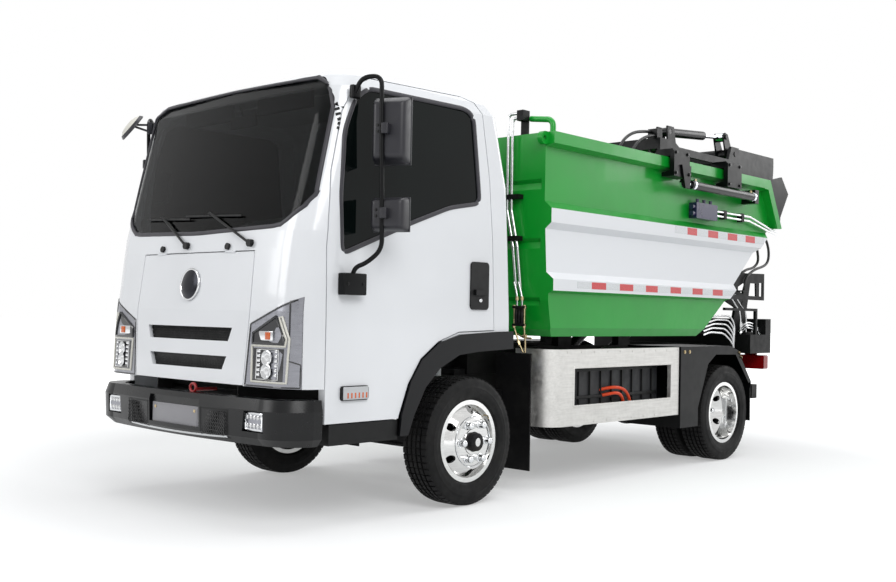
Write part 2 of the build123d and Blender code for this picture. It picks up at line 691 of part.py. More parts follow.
def mirror_arm():
    """Tube from the top bracket down the outside of the door to the lower elbow."""
    top = (CAB_HALF + 16, -985, 2250)
    route = [top, (1000, -985, 2330), (MIRROR_TUBE_X, -940, 2330), (MIRROR_TUBE_X, -930, 1500),
             (MIRROR_TUBE_X - 60, -1000, 1420), (CAB_HALF + 50, -1037, 1400)]
    arm = bent_tube(route, 12, 30)
    arm += block(CAB_HALF + FIT, CAB_HALF + 60, -1075, -990, 1240, 1420)
    arm += block(CAB_HALF + FIT, CAB_HALF + 30, -1010, -950, 2225, 2295)
    for head in mirror_heads():
        z = head.center().Z
        arm += head + block(MIRROR_TUBE_X - 18, MIRROR_TUBE_X + 18, -945, -890, z - 25, z + 25)
    return arm


def mirror_heads():
    """Large and small mirror, each a deep shell on the tube."""
    heads = []
    for low, high in ((1880, 2235), (1535, 1715)):
        head = block(1010, 1220, -905, -815, low, high)
        head = fillet(head.edges().filter_by(Axis.Y), 28)
        heads.append(head)
    return heads


def bumper_form(inset):
    """The bumper's outer form, or the form a wall thickness inside it."""
    levels = [(430, 40), (470, 5), (610, 0), (668, 14)]
    return loft([bumper_section(z, tuck + inset) for z, tuck in levels], ruled=True)


def bumper():
    """Wrap-round bumper with a plate recess and lamp pockets."""
    shell = bumper_form(0) - bumper_form(BUMPER_WALL)
    shell -= front_prism([(-240, 490), (240, 490), (240, 640), (-240, 640)], -1500, -1395)
    for side in (-1, 1):
        pocket = front_prism([(585, 500), (745, 500), (745, 605), (600, 605)], -1500, -1340)
        shell -= pocket if side > 0 else mirrored(pocket)
    return shell


def bumper_section(z, inset):
    half = CAB_HALF + 3 - inset
    front = FRONT_END + inset
    a, b = (-700, front + 45), (700, front + 45)
    c = (half, -1200 + inset * 0.5)
    d = (half, BUMPER_END)
    mid = (half - 52, front + 108)
    edges = [
        ThreePointArc(a, (0, front), b),
        ThreePointArc(b, mid, c),
        Line(c, d),
        Line(d, (-half, BUMPER_END)),
        Line((-half, BUMPER_END), (-half, c[1])),
        ThreePointArc((-half, c[1]), (-mid[0], mid[1]), a),
    ]
    return Pos(0, 0, z) * make_face(edges)


def on_front(x, z, out):
    """A point off the cab's front by a distance, between the cowl and the middle of the windscreen."""
    return (x, -1298 + (z - 1440) * 0.2435 + 28 * (x / 735) ** 2 - out, z)


def wiper(pivot, elbow, start, end):
    """Spindle cap, arm and blade that lie just in front of the windscreen."""
    cap = bar(on_front(pivot, 1470, -12), on_front(pivot, 1470, 26), 20) - cab_body(-1.2)
    arm = bar(on_front(pivot, 1470, 20), on_front(elbow, 1650, 22), 7)
    arm += bar(on_front(elbow, 1650, 26), on_front(elbow, 1636, 12), 8)
    return cap + arm + bar(on_front(start, 1641, 13), on_front(end, 1622, 13), 6)


def nozzle_cap(x):
    """Washer cap just off the cowl."""
    return bar(on_front(x, 1456, 3), on_front(x, 1458, 16), 18)


def front_mirror():
    """Round mirror on two struts from the foot beside the right-hand mirror's bracket."""
    centre = Vector(-1062, -1082, 2272)
    back = Vector(-0.3, -0.75, 0.6).normalized()
    head = Plane(origin=centre, z_dir=back) * Cylinder(98, 12)
    head += Plane(origin=centre + back * 6, z_dir=back) * Cone(90, 40, 20, align=(Align.CENTER, Align.CENTER, Align.MIN))
    top = centre - back * 5
    struts = bar(top, (-948, -1022, 2284), 9) + bar(top, (-948, -1022, 2240), 7)
    return head + struts + block(-962, -934, -1034, -1010, 2226, 2294)


def front_end():
    save("bumper", bumper())
    save("wipers", *[wiper(*spec) for spec in WIPERS], *[nozzle_cap(x) for x in NOZZLES])
    save("front_mirror", front_mirror())


def cabin_inside():
    dash = side_prism([(-1215, 1040), (-1240, 1380), (-1060, 1440), (-930, 1380), (-1000, 1180), (-1060, 1040)], -840, 840)
    dash += block(-840, 840, -1200, -1160, CAB_FLOOR, 1045)
    dash = dash & cab_body(CAB_WALL + 3)
    steer = Pos(420, -790, 1400) * Rot(-62, 0, 0)
    dash += steer * Pos(0, 0, -20 - FIT - 110) * Cylinder(24, 220)
    save("dashboard", dash)
    wheel = steer * Torus(195, 15) + steer * Cylinder(45, 40)
    for angle in (0, 120, 240):
        wheel += steer * Rot(0, 0, angle) * Pos(110, 0, 0) * Box(180, 28, 12)
    save("steering_wheel", wheel)
    seats = []
    for x in (-420, 420):
        cushion = block(x - 235, x + 235, -560, -60, CAB_FLOOR + 228.3, 1200)
        back = side_prism([(-120, 1150), (10, 1150), (130, 1780), (30, 1780)], x - 225, x + 225)
        head = block(x - 120, x + 120, 45, 135, 1765, 1960)
        seats.append(fillet(cushion.edges(), 35) + back + fillet(head.edges(), 25))
    save("seats", *seats)


# ---- hopper -------------------------------------------------------------------------------

def hopper_silhouette(inset):
    """Side outline of the hopper; the inner one runs out over the lip."""
    if inset == 0:
        return [
            (TUB_FRONT + 38, 1030), (TUB_FRONT, 1215), (TUB_FRONT, TUB_TOP), (3700, TUB_TOP), (3920, 1900), (3770, 1862),
            (3700, 1815), (3102, 1345), (2606, TUB_FLOOR), (TUB_FRONT + 78, TUB_FLOOR),
        ]
    t = inset
    return [
        (TUB_FRONT + 38 + t, 1030 + t * 0.4), (TUB_FRONT + t, 1215), (TUB_FRONT + t, 2500), (4200, 2500), (4200, 1900 + t),
        (3900, 1900 + t),
        (3770 - t * 0.3, 1862 + t * 0.95), (3700 - t * 0.6, 1815 + t * 0.8), (3102 - t * 0.6, 1345 + t * 0.8),
        (2606 - t * 0.45, TUB_FLOOR + t), (TUB_FRONT + 78 + t * 0.4, TUB_FLOOR + t),
    ]


def hopper():
    """Open hopper with folded side rails and a rear wall that rises to the lip."""
    side = [(x, z) for x, z in HOPPER_SIDE]
    outline = side + [(-x, z) for x, z in reversed(side)]
    body = front_prism(outline, TUB_FRONT, 4000)
    body &= side_prism(hopper_silhouette(0), -1000, 1000)
    cavity = side_prism(hopper_silhouette(TUB_WALL), -TUB_INNER_X, TUB_INNER_X)
    body -= cavity
    for z in FRONT_GROOVES:
        body -= side_prism([(TUB_FRONT - 1, z + 30), (TUB_FRONT + 20, z + 6), (TUB_FRONT - 1, z - 40)], -868, 868)
    body += rail_posts()
    body += mirrored(rail_posts())
    strut = bent_tube([(757, 722, 2392), (936, 722, 2368), (936, 722, TUB_TOP - 12)], 19, 48)
    boss = side_prism([(TUB_FRONT + 5, 2216), (665, 2206), (665, 2290), (TUB_FRONT + 5, 2290)], 884, 918)
    boss += bar((884, 668, 2248), (918, 668, 2248), 42)
    boss -= bar((870, 664, 2248), (930, 664, 2248), 15)
    return body + strut + boss + mirrored(boss)


def rail_posts():
    """Raised strips that stiffen the rear edge of each side."""
    strip = side_prism([(3600, 2210), (3664, 2210), (3841, 1893), (3900, 1895), (3920, 1900), (3700, 2290), (3640, 2290)],
                       TUB_PANEL_X - 2, TUB_RAIL_X)
    return strip


def rear_deflectors():
    """Side plates that carry on behind the rear edge of the hopper."""
    points = [(3700.2, TUB_TOP), (3950, 2345), (REAR_END, 2210), (3935, 2000), (3920.2, 1900)]
    return side_prism(points, 925, 945)


def tub_hinges():
    """Windowed arms from the sloping rear wall down to the tipping pins."""
    y, z = TIP_PIVOT
    arm = side_prism([(3150, 1378), (3540, 1640), (3920, 1480), (3930, 1430), (3870, z - 50), (3730, z - 50)],
                     TOWER_X + 16, TOWER_X + 36)
    arm -= side_prism([(3560, 1420), (3600, 1520), (3850, 1425), (3800, 1335)], TOWER_X, TOWER_X + 60)
    arm -= bar((TOWER_X, y, z), (TOWER_X + 60, y, z), TIP_PIN_R + 0.5)
    clear = side_prism(hopper_silhouette(0), -1000, 1000)
    return arm - clear


def pipe_brackets():
    """Windowed plates behind the rear wall, clamps along the sides and the post on the front wall."""
    plate = side_prism([(3040, 1285), (3935, 1285), (3935, 1515), (3640, 1508), (3320, 1505), (3200, 1440)], 790, 804)
    plate -= side_prism([(3400, 1318), (3790, 1318), (3781, 1426), (3560, 1426), (3440, 1380)], 780, 820)
    plate -= side_prism([(3842, 1318), (3905, 1318), (3905, 1435), (3842, 1433)], 780, 820)
    plate += block(740, 846, 3470, 3565, 1350, 1360)
    plate -= side_prism(hopper_silhouette(0), -1000, 1000)
    pieces = both(plate)
    for y in (2960, 3250):
        clamp = block(TUB_PANEL_X, 942, y, y + 40, 1908, 1977)
        for z in (1925, 1960):
            clamp -= bar((930, y - 5, z), (930, y + 45, z), 9 + FIT)
        pieces += both(clamp)
    post = block(690, 750, TUB_FRONT + 1, TUB_FRONT + 13, TUB_TOP, 2380)
    post += block(700 + FIT, 752, PIPE_STATION - 18, TUB_FRONT + 13, 2375, 2442)
    pieces.append(post)
    for z in (1600, 1870):
        clamp = block(600, 722, PIPE_STATION - 20, TUB_FRONT, z, z + 30)
        for x in (620, 655):
            shift = 55 * (1800 - z - 15) / 240 if z < 1800 else 0
            clamp -= bar((x + shift, PIPE_STATION, z - 20), (x + shift, PIPE_STATION, z + 50), 14)
        pieces.append(clamp)
    return pieces


def front_pipes():
    """Two steel pipes that rise before the front wall and turn in to the post's head."""
    pieces = []
    for x, top in FRONT_PIPES:
        places = [(x + 88, 1280), (x + 55, 1560), (x, 1800), (x, top), (700, top)]
        pieces.append(bent_tube([(px, PIPE_STATION, z) for px, z in places], 10, 26))
    return pieces


def valve_block():
    """Valve block on the side with two end caps and its fittings."""
    body = block(TUB_PANEL_X, 962, 2490, 2810, 1880, 2000)
    body = fillet(body.edges().filter_by(Axis.X), 8)
    for z in (1915, 1965):
        body += bar((935, 2455, z), (935, 2495, z), 20)
    for y in (2550, 2650, 2750):
        body += bar((932, y, 1995), (932, y, 2030), 13)
    return body + block(915, 945, 2805, 2840 - FIT, 1908, 1977)


def side_pipes():
    """Two pipes from the valve block to the rear edge."""
    return [piece for route in SIDE_PIPES for piece in both(bent_tube(route, 9, 60))]


def hose(route, start, end):
    """A hose on one smooth curve through its points, square to what holds both ends."""
    path = Spline(*route, tangents=[start, end])
    return sweep(Plane(origin=path @ 0, z_dir=path % 0) * Circle(HOSE_R), path=path)


def lift_lugs():
    """Pairs of lugs under the rear wall, either side of each tipping cylinder's rod eye."""
    clear = side_prism(hopper_silhouette(0), -1000, 1000)
    y, z = LIFT_EYE
    outline = [(y - 110, z + 90), (y - 50, z - 20), (y - 20, z - 36), (y + 30, z - 36), (y + 60, z), (y + 140, z + 260)]
    lugs = []
    for x, out in ((LIFT_X - EYE_HALF - FIT - 12, -1), (LIFT_X + EYE_HALF + FIT, 1)):
        plate = side_prism(outline, x, x + 12) - clear
        head = x - 10 if out < 0 else x + 12
        plate += bar((head, y, z), (head + 10, y, z), LIFT_PIN_R)
        lugs += both(plate)
    return lugs


def tub():
    save("hopper_shell", hopper())
    save("rear_deflectors", *both(rear_deflectors()))
    save("hopper_hinges", *both(tub_hinges()), *lift_lugs())
    save("pipe_brackets", *pipe_brackets())
    save("steel_pipes", *front_pipes(), *side_pipes())
    save("valve_block", *both(valve_block()))
    save("rear_hoses", *[piece for route in REAR_HOSES for piece in both(hose(route, (0, 0, -1), (0, 0, -1)))])
    barrels = bar((SIDE_CYL_X, 2330, SIDE_CYL_Z), (SIDE_CYL_X, SIDE_BARREL_END, SIDE_CYL_Z), 32)
    barrels -= bar((SIDE_CYL_X, 2320, SIDE_CYL_Z), (SIDE_CYL_X, SIDE_BARREL_END - 30, SIDE_CYL_Z), SIDE_ROD_R + 0.5)
    barrels += block(TUB_PANEL_X, SIDE_CYL_X + 20, SIDE_BARREL_END - 10, SIDE_BARREL_END + 50, 2060, 2170)
    save("side_cylinders", *both(barrels))


# ---- packer -------------------------------------------------------------------------------

def trolley():
    """Carriage on the side rails: hook arms round each rail, side plates and cross beams."""
    frame = None
    for start, end in ((2060, 2280), (2860, 3085)):
        hook = front_prism(
            [(870, TUB_TOP + 8), (870, 2350), (1002, 2350), (1020, 2330), (1020, 2150), (915, 2150), (915, 2180),
             (985, 2195), (985, TUB_TOP + 8)], start, end)
        frame = hook if frame is None else frame + hook
        frame += block(885, TUB_RAIL_X - 5, start + 10, end - 10, TUB_TOP + FIT, TUB_TOP + 8)
    side = side_prism([(2060, 2345), (2060, 2440), (2250, 2440), (2330, 2400), (3090, 2400), (3140, 2510), (3260, 2510),
                       (3268, 2400), (3200, 2345)], 876, 900)
    frame += side
    y, z = SHOVEL_PIVOT
    frame -= bar((800, y, z), (950, y, z), SHOVEL_PIN_R + 0.5)
    base_y, base_z = SHOVEL_BASE
    ear = side_prism([(base_y - 36, 2350), (base_y - 45, base_z + 40), (base_y + 45, base_z + 40), (base_y + 100, 2350)], 0, 14)
    ears = Pos(SHOVEL_CYL_X - 50, 0, 0) * ear + Pos(SHOVEL_CYL_X + 36, 0, 0) * ear
    ears -= bar((SHOVEL_CYL_X - 60, base_y, base_z), (SHOVEL_CYL_X + 60, base_y, base_z), SHOVEL_PIN_R + 0.5)
    whole = frame + mirrored(frame)
    for y0, y1, z0, z1 in ((2060, 2160, 2360, 2440), (2250, 2400, 2340, 2400), (2860, 2950, 2340, 2400)):
        whole += block(-880, 880, y0, y1, z0, z1)
    ports = block(775, 855, 2090, 2160, 2430, 2515)
    whole += ears + ports
    whole += mirrored(ears + ports)
    # outer arm that the side cylinder's rod pushes
    push = side_prism([(2150, 2240), (2280, 2240), (2262, SIDE_CYL_Z - 40), (2200, SIDE_CYL_Z - 40)], 1018, 1034)
    push += bar((SIDE_CYL_X - 20, SIDE_PIN, SIDE_CYL_Z), (SIDE_CYL_X + 34, SIDE_PIN, SIDE_CYL_Z), 16)
    whole += push
    whole += mirrored(push)
    return whole


def shovel_arc(radius):
    """Three points of an arc about the shovel's pivot, from its low edge to its high one."""
    y, z = SHOVEL_PIVOT
    turns = [math.radians(angle) for angle in SHOVEL_ARC]
    return [(y + radius * math.cos(turn), z + radius * math.sin(turn)) for turn in turns]


def shovel():
    """Curved blade between two cheeks, with lugs for the two cylinders."""
    y, z = SHOVEL_PIVOT
    outer, inner = shovel_arc(SHOVEL_R), shovel_arc(SHOVEL_R - 28)
    outer_arc = ThreePointArc(*[(-SHOVEL_HALF, *point) for point in outer])
    inner_arc = ThreePointArc(*[(-SHOVEL_HALF, *point) for point in reversed(inner)])
    face = make_face([outer_arc, Line(outer_arc @ 1, inner_arc @ 0), inner_arc, Line(inner_arc @ 1, outer_arc @ 0)])
    blade = extrude(face, amount=2 * SHOVEL_HALF, dir=(1, 0, 0))
    cheek_points = [(y - 45, z - 55), (y - 50, z + 35), (y + 15, z + 58), outer[2], outer[1], outer[0]]
    cheek = side_prism(cheek_points, SHOVEL_HALF - 16, SHOVEL_HALF)
    body = blade + cheek + mirrored(cheek)
    eye_y, eye_z = SHOVEL_EYE
    lug = side_prism([(eye_y - 36, eye_z - 10), (eye_y - 12, eye_z + 34), (eye_y + 30, eye_z + 24), (y + 52, z + 20),
                      (y + 20, z - 50), (y - 50, z - 20)], 0, 14)
    for x, out in ((SHOVEL_CYL_X - EYE_HALF - 16, -1), (SHOVEL_CYL_X + EYE_HALF + 2, 1)):
        head = -10 if out < 0 else 14
        piece = Pos(x, 0, 0) * (lug + bar((head, eye_y, eye_z), (head + 10, eye_y, eye_z), SHOVEL_PIN_R))
        body += piece
        body += mirrored(piece)
    body += bar((-905, y, z), (905, y, z), SHOVEL_PIN_R)
    body += bar((-SHOVEL_HALF, y, z), (SHOVEL_HALF, y, z), 45)
    return body


def cylinder_pair(base, eye, x, barrel_r, rod_r, barrel_length, pin_r, rod_start):
    """Barrel and rod from a base pin to an eye, in one side plane."""
    start, end = Vector(x, *base), Vector(x, *eye)
    way = (end - start).normalized()
    barrel = bar(start + way * 30, start + way * barrel_length, barrel_r)
    barrel += bar((x - EYE_HALF, *base), (x + EYE_HALF, *base), 34)
    barrel -= bar(start + way * 60, start + way * (barrel_length + 5), rod_r + 0.5)
    barrel += bar((x - 48, *base), (x + 48, *base), pin_r)
    rod = bar(start + way * rod_start, end - way * 20, rod_r)
    rod += bar((x - EYE_HALF, *eye), (x + EYE_HALF, *eye), 36)
    return barrel, rod


def packer():
    save("packer_carriage", trolley())
    save("carriage_hoses", *[piece for route in CARRIAGE_HOSES for piece in both(hose(route, (0, -1, 0), (0, 0, 1)))])
    rods = bar((SIDE_CYL_X, SIDE_PIN + 20, SIDE_CYL_Z), (SIDE_CYL_X, SIDE_BARREL_END - 40, SIDE_CYL_Z), SIDE_ROD_R)
    rods += bar((SIDE_CYL_X - 16, SIDE_PIN, SIDE_CYL_Z), (SIDE_CYL_X - 0.5, SIDE_PIN, SIDE_CYL_Z), 34)
    rods -= bar((SIDE_CYL_X - 20, SIDE_PIN, SIDE_CYL_Z), (SIDE_CYL_X + 5, SIDE_PIN, SIDE_CYL_Z), 16.2)
    save("packer_rods", *both(rods))
    save("shovel", shovel())
    barrel, rod = cylinder_pair(SHOVEL_BASE, SHOVEL_EYE, SHOVEL_CYL_X, 34, 15, 560, SHOVEL_PIN_R, 190)
    save("shovel_cylinders", *both(barrel))
    save("shovel_rods", *both(rod))
    barrel, rod = cylinder_pair(LIFT_BASE, LIFT_EYE, LIFT_X, 45, 25, 1080, LIFT_PIN_R, 70)
    save("lift_cylinders", *both(barrel))
    save("lift_rods", *both(rod))


os.makedirs("parts", exist_ok=True)
wheels()
chassis()
save("side_guards", *both(side_guards()))
save("rear_fenders", *both(rear_fender()))
save("rear_frame", rear_frame())
save("rear_lamps", *both(rear_lamp()))
cab()
front_end()
cabin_inside()
tub()
packer()
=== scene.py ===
import math
import bmesh
import bpy
from mathutils import Matrix, Vector
from mathutils.bvhtree import BVHTree


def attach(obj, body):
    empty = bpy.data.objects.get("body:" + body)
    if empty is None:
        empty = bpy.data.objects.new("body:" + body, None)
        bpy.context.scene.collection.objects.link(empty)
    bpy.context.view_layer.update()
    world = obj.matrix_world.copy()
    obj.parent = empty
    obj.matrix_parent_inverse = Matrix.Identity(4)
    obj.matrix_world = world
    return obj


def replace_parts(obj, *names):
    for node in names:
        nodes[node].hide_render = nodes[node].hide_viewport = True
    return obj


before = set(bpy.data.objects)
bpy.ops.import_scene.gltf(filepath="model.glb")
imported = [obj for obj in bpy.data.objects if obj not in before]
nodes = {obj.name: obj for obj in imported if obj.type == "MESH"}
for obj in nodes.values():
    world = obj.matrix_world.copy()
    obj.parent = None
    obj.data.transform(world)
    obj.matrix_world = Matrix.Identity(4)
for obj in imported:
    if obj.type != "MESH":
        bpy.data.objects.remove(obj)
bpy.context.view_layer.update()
print("stage: frame loaded with", len(nodes), "nodes")

# stations run rearward from the front axle in metres, and the row frame starts at the truck's middle
middle = 1.330
across, rearward, upward = Vector((1, 0, 0)), Vector((0, 1, 0)), Vector((0, 0, 1))


def at(x, station, z):
    return Vector((x, station - middle, z))


def mirrored(point, sign):
    return at(point[0] * sign, point[1], point[2])


# camera of a person standing off the truck's left front corner
view = {"place": (5.042, -5.998, 1.119), "yaw": 42.798, "pitch": 1.22, "roll": 1.103,
        "lens": 42.69, "sensor": 36, "reach": 200}


def placeCamera():
    yaw, pitch, roll = (math.radians(view[key]) for key in ("yaw", "pitch", "roll"))
    forward = Vector((-math.sin(yaw) * math.cos(pitch), math.cos(yaw) * math.cos(pitch), math.sin(pitch)))
    level = Vector((math.cos(yaw), math.sin(yaw), 0))
    upright = level.cross(forward)
    right = level * math.cos(roll) + upright * math.sin(roll)
    up = upright * math.cos(roll) - level * math.sin(roll)
    data = bpy.data.cameras.new("viewCamera")
    data.lens, data.sensor_width, data.clip_end = view["lens"], view["sensor"], view["reach"]
    camera = bpy.data.objects.new("viewCamera", data)
    bpy.context.scene.collection.objects.link(camera)
    turn = Matrix((right, up, -forward)).transposed().to_4x4()
    camera.matrix_world = Matrix.Translation(view["place"]) @ turn
    bpy.context.scene.camera = camera


placeCamera()
print("stage: camera placed")


# ---- colours and material nodes
def linear(hexColor):
    parts = [int(hexColor[i:i + 2], 16) / 255 for i in (1, 3, 5)]
    return tuple(p / 12.92 if p <= 0.04045 else ((p + 0.055) / 1.055) ** 2.4 for p in parts) + (1.0,)


def addNode(tree, kind, inputs=None, out=None, **settings):
    # each input is joined to an output or set to a value, and out picks the output that is given back
    node = tree.nodes.new(kind)
    for key, value in settings.items():
        setattr(node, key, value)
    for socket, value in (inputs or {}).items():
        if isinstance(value, bpy.types.NodeSocket):
            tree.links.new(value, node.inputs[socket])
        else:
            node.inputs[socket].default_value = value
    return node if out is None else node.outputs[out]


def startMaterial(name, **shader):
    material = bpy.data.materials.new(name)
    material.use_nodes = True
    tree = material.node_tree
    for key, value in shader.items():
        tree.nodes["Principled BSDF"].inputs[key].default_value = value
    return material, tree, addNode(tree, "ShaderNodeTexCoord", out="Object")


def finishMaterial(material, sources):
    # the ends of the node chains go into the shader
    tree = material.node_tree
    for socket, source in sources.items():
        tree.links.new(source, tree.nodes["Principled BSDF"].inputs[socket])
    return material


# a map range takes value, from low, from high, to low and to high; a colour mix takes share and two colours at 6 and 7
uneven = 0.55  # how much of each finer octave the noise textures keep
dustColour, grimeColour = "#8d8a84", "#4b4740"


def lowDust(tree, place, base, amount):
    # road dust that thickens from 0.95 m down to 0.3 m above the ground
    height = addNode(tree, "ShaderNodeSeparateXYZ", {"Vector": place}, "Z")
    cloud = addNode(tree, "ShaderNodeTexNoise", {"Vector": place, "Scale": 9.0, "Detail": 5.0, "Roughness": uneven}, 0)
    patch = addNode(tree, "ShaderNodeMapRange", {0: cloud, 1: 0.35, 2: 0.75}, 0)
    low = addNode(tree, "ShaderNodeMapRange", {0: height, 1: 0.95, 2: 0.3}, 0)
    both = addNode(tree, "ShaderNodeMath", {0: low, 1: patch}, 0, operation="MULTIPLY")
    share = addNode(tree, "ShaderNodeMath", {0: both, 1: amount}, 0, operation="MULTIPLY")
    return addNode(tree, "ShaderNodeMix", {0: share, 6: base, 7: linear(dustColour)}, 2, data_type="RGBA")


def bandShare(tree, place, band):
    # masked stripe along both sides, 1 where the second colour is sprayed
    split = addNode(tree, "ShaderNodeSeparateXYZ", {"Vector": place}).outputs
    outside = addNode(tree, "ShaderNodeMath", {0: split["X"]}, 0, operation="ABSOLUTE")
    tests = [addNode(tree, "ShaderNodeMath", {0: source, 1: limit}, 0, operation=test) for source, limit, test in (
        (outside, band["beyond"], "GREATER_THAN"), (split["Y"], band["front"], "GREATER_THAN"),
        (split["Z"], band["low"], "GREATER_THAN"), (split["Z"], band["high"], "LESS_THAN"))]
    pairs = [addNode(tree, "ShaderNodeMath", {0: tests[k], 1: tests[k + 1]}, 0, operation="MULTIPLY") for k in (0, 2)]
    return addNode(tree, "ShaderNodeMath", {0: pairs[0], 1: pairs[1]}, 0, operation="MULTIPLY")


def paint(name, colour, shade, rough, coat=0.0, dust=0.0, peel=0.06, level=0.5, band=None):
    # sprayed paint: a slow change of tone, faint orange peel 4 to 5 mm wide and a clear coat
    material, tree, place = startMaterial(
        name, **{"IOR": 1.5, "Coat Weight": coat, "Coat Roughness": 0.05, "Specular IOR Level": level})
    drift, cloud, peeled = [
        addNode(tree, "ShaderNodeTexNoise", {"Vector": place, "Scale": scale, "Detail": detail, "Roughness": uneven}, 0)
        for scale, detail in ((1.6, 2.0), (14.0, 4.0), (220.0, 2.0))]
    tone = addNode(tree, "ShaderNodeMapRange", {0: drift, 1: 0.3, 2: 0.7}, 0)
    base = addNode(tree, "ShaderNodeMix", {0: tone, 6: linear(colour), 7: linear(shade)}, 2, data_type="RGBA")
    if band:
        second = {0: bandShare(tree, place, band), 6: base, 7: linear(band["colour"])}
        base = addNode(tree, "ShaderNodeMix", second, 2, data_type="RGBA")
    if dust:
        base = lowDust(tree, place, base, dust)
    gloss = addNode(tree, "ShaderNodeMapRange", {0: cloud, 1: 0.3, 2: 0.7, 3: rough * 0.85, 4: rough * 1.2}, 0)
    normal = addNode(tree, "ShaderNodeBump", {"Height": peeled, "Strength": peel, "Distance": 0.0006}, 0)
    return finishMaterial(material, {"Base Color": base, "Roughness": gloss, "Normal": normal})


def metal(name, colour, rough, aniso=0.0, scratch=0.1, grime=0.0, grain=(6.0, 6.0, 60.0)):
    # bare or plated metal: fine streaks of the tool or brush, and dull patches
    material, tree, place = startMaterial(name, **{"Metallic": 1.0, "Anisotropic": aniso})
    streak = addNode(tree, "ShaderNodeMapping", {"Vector": place, "Scale": grain}, 0)
    drift, dull, lines = [
        addNode(tree, "ShaderNodeTexNoise", {"Vector": way, "Scale": scale, "Detail": detail, "Roughness": uneven}, 0)
        for way, scale, detail in ((streak, 3.0, 4.0), (place, 30.0, 5.0), (streak, 20.0, 2.0))]
    tone = addNode(tree, "ShaderNodeMapRange", {0: drift, 1: 0.3, 2: 0.7}, 0)
    darker = tuple(c * 0.86 for c in linear(colour)[:3]) + (1.0,)
    base = addNode(tree, "ShaderNodeMix", {0: tone, 6: linear(colour), 7: darker}, 2, data_type="RGBA")
    if grime:
        speckle = {"Vector": place, "Scale": 11.0, "Detail": 6.0, "Roughness": uneven}
        cloud = addNode(tree, "ShaderNodeTexNoise", speckle, 0)
        spots = addNode(tree, "ShaderNodeMapRange", {0: cloud, 1: 0.52, 2: 0.7, 4: grime}, 0)
        base = addNode(tree, "ShaderNodeMix", {0: spots, 6: base, 7: linear(grimeColour)}, 2, data_type="RGBA")
    gloss = addNode(tree, "ShaderNodeMapRange", {0: dull, 1: 0.3, 2: 0.7, 3: rough * 0.8, 4: rough * 1.3}, 0)
    normal = addNode(tree, "ShaderNodeBump", {"Height": lines, "Strength": scratch, "Distance": 0.0004}, 0)
    return finishMaterial(material, {"Base Color": base, "Roughness": gloss, "Normal": normal})


def moulded(name, colour, rough, grain=260.0, depth=0.2, dust=0.0, level=0.4, worn="#5d5b57"):
    # moulded plastic or rubber: leather-like grain 2 to 4 mm wide, drawn coarse enough to show
    material, tree, place = startMaterial(name, **{"IOR": 1.5, "Specular IOR Level": level})
    rubbed, cloud = [
        addNode(tree, "ShaderNodeTexNoise", {"Vector": place, "Scale": scale, "Detail": detail, "Roughness": uneven}, 0)
        for scale, detail in ((7.0, 5.0), (18.0, 4.0))]
    tone = addNode(tree, "ShaderNodeMapRange", {0: rubbed, 1: 0.45, 2: 0.75, 4: 0.06 + dust}, 0)
    base = addNode(tree, "ShaderNodeMix", {0: tone, 6: linear(colour), 7: linear(worn)}, 2, data_type="RGBA")
    dullest = min(rough * 1.15, 1.0)
    gloss = addNode(tree, "ShaderNodeMapRange", {0: cloud, 1: 0.3, 2: 0.7, 3: rough * 0.85, 4: dullest}, 0)
    cells = addNode(tree, "ShaderNodeTexVoronoi", {"Vector": place, "Scale": grain}, "Distance")
    normal = addNode(tree, "ShaderNodeBump", {"Height": cells, "Strength": depth, "Distance": 0.0004}, 0)
    return finishMaterial(material, {"Base Color": base, "Roughness": gloss, "Normal": normal})


def glazing(name, colour, deep, rough=0.02, clear=0.0, level=0.3, bend=1.45):
    # tinted glass or lens: a faint smear in the gloss and a slow change of depth
    material, tree, place = startMaterial(
        name, **{"IOR": bend, "Transmission Weight": clear, "Specular IOR Level": level})
    drift, smear = [
        addNode(tree, "ShaderNodeTexNoise", {"Vector": place, "Scale": scale, "Detail": detail, "Roughness": uneven}, 0)
        for scale, detail in ((1.2, 3.0), (5.0, 5.0))]
    depth = addNode(tree, "ShaderNodeMapRange", {0: drift, 1: 0.35, 2: 0.7}, 0)
    base = addNode(tree, "ShaderNodeMix", {0: depth, 6: linear(colour), 7: linear(deep)}, 2, data_type="RGBA")
    gloss = addNode(tree, "ShaderNodeMapRange", {0: smear, 1: 0.4, 2: 0.8, 3: rough, 4: rough + 0.03}, 0)
    return finishMaterial(material, {"Base Color": base, "Roughness": gloss})


def reflective(name, colour):
    # retroreflective film: a net of sealed cells 4 mm wide under a clear face
    material, tree, place = startMaterial(name, **{"IOR": 1.5, "Coat Weight": 0.6, "Roughness": 0.35})
    cells = addNode(tree, "ShaderNodeTexVoronoi", {"Vector": place, "Scale": 250.0}, "Distance",
                    feature="DISTANCE_TO_EDGE")
    wall = addNode(tree, "ShaderNodeMapRange", {0: cells, 1: 0.03, 2: 0.09}, 0)
    pale = tuple(min(1.0, c * 1.25 + 0.04) for c in linear(colour)[:3]) + (1.0,)
    base = addNode(tree, "ShaderNodeMix", {0: wall, 6: pale, 7: linear(colour)}, 2, data_type="RGBA")
    normal = addNode(tree, "ShaderNodeBump", {"Height": cells, "Strength": 0.3, "Distance": 0.0003}, 0)
    return finishMaterial(material, {"Base Color": base, "Normal": normal})


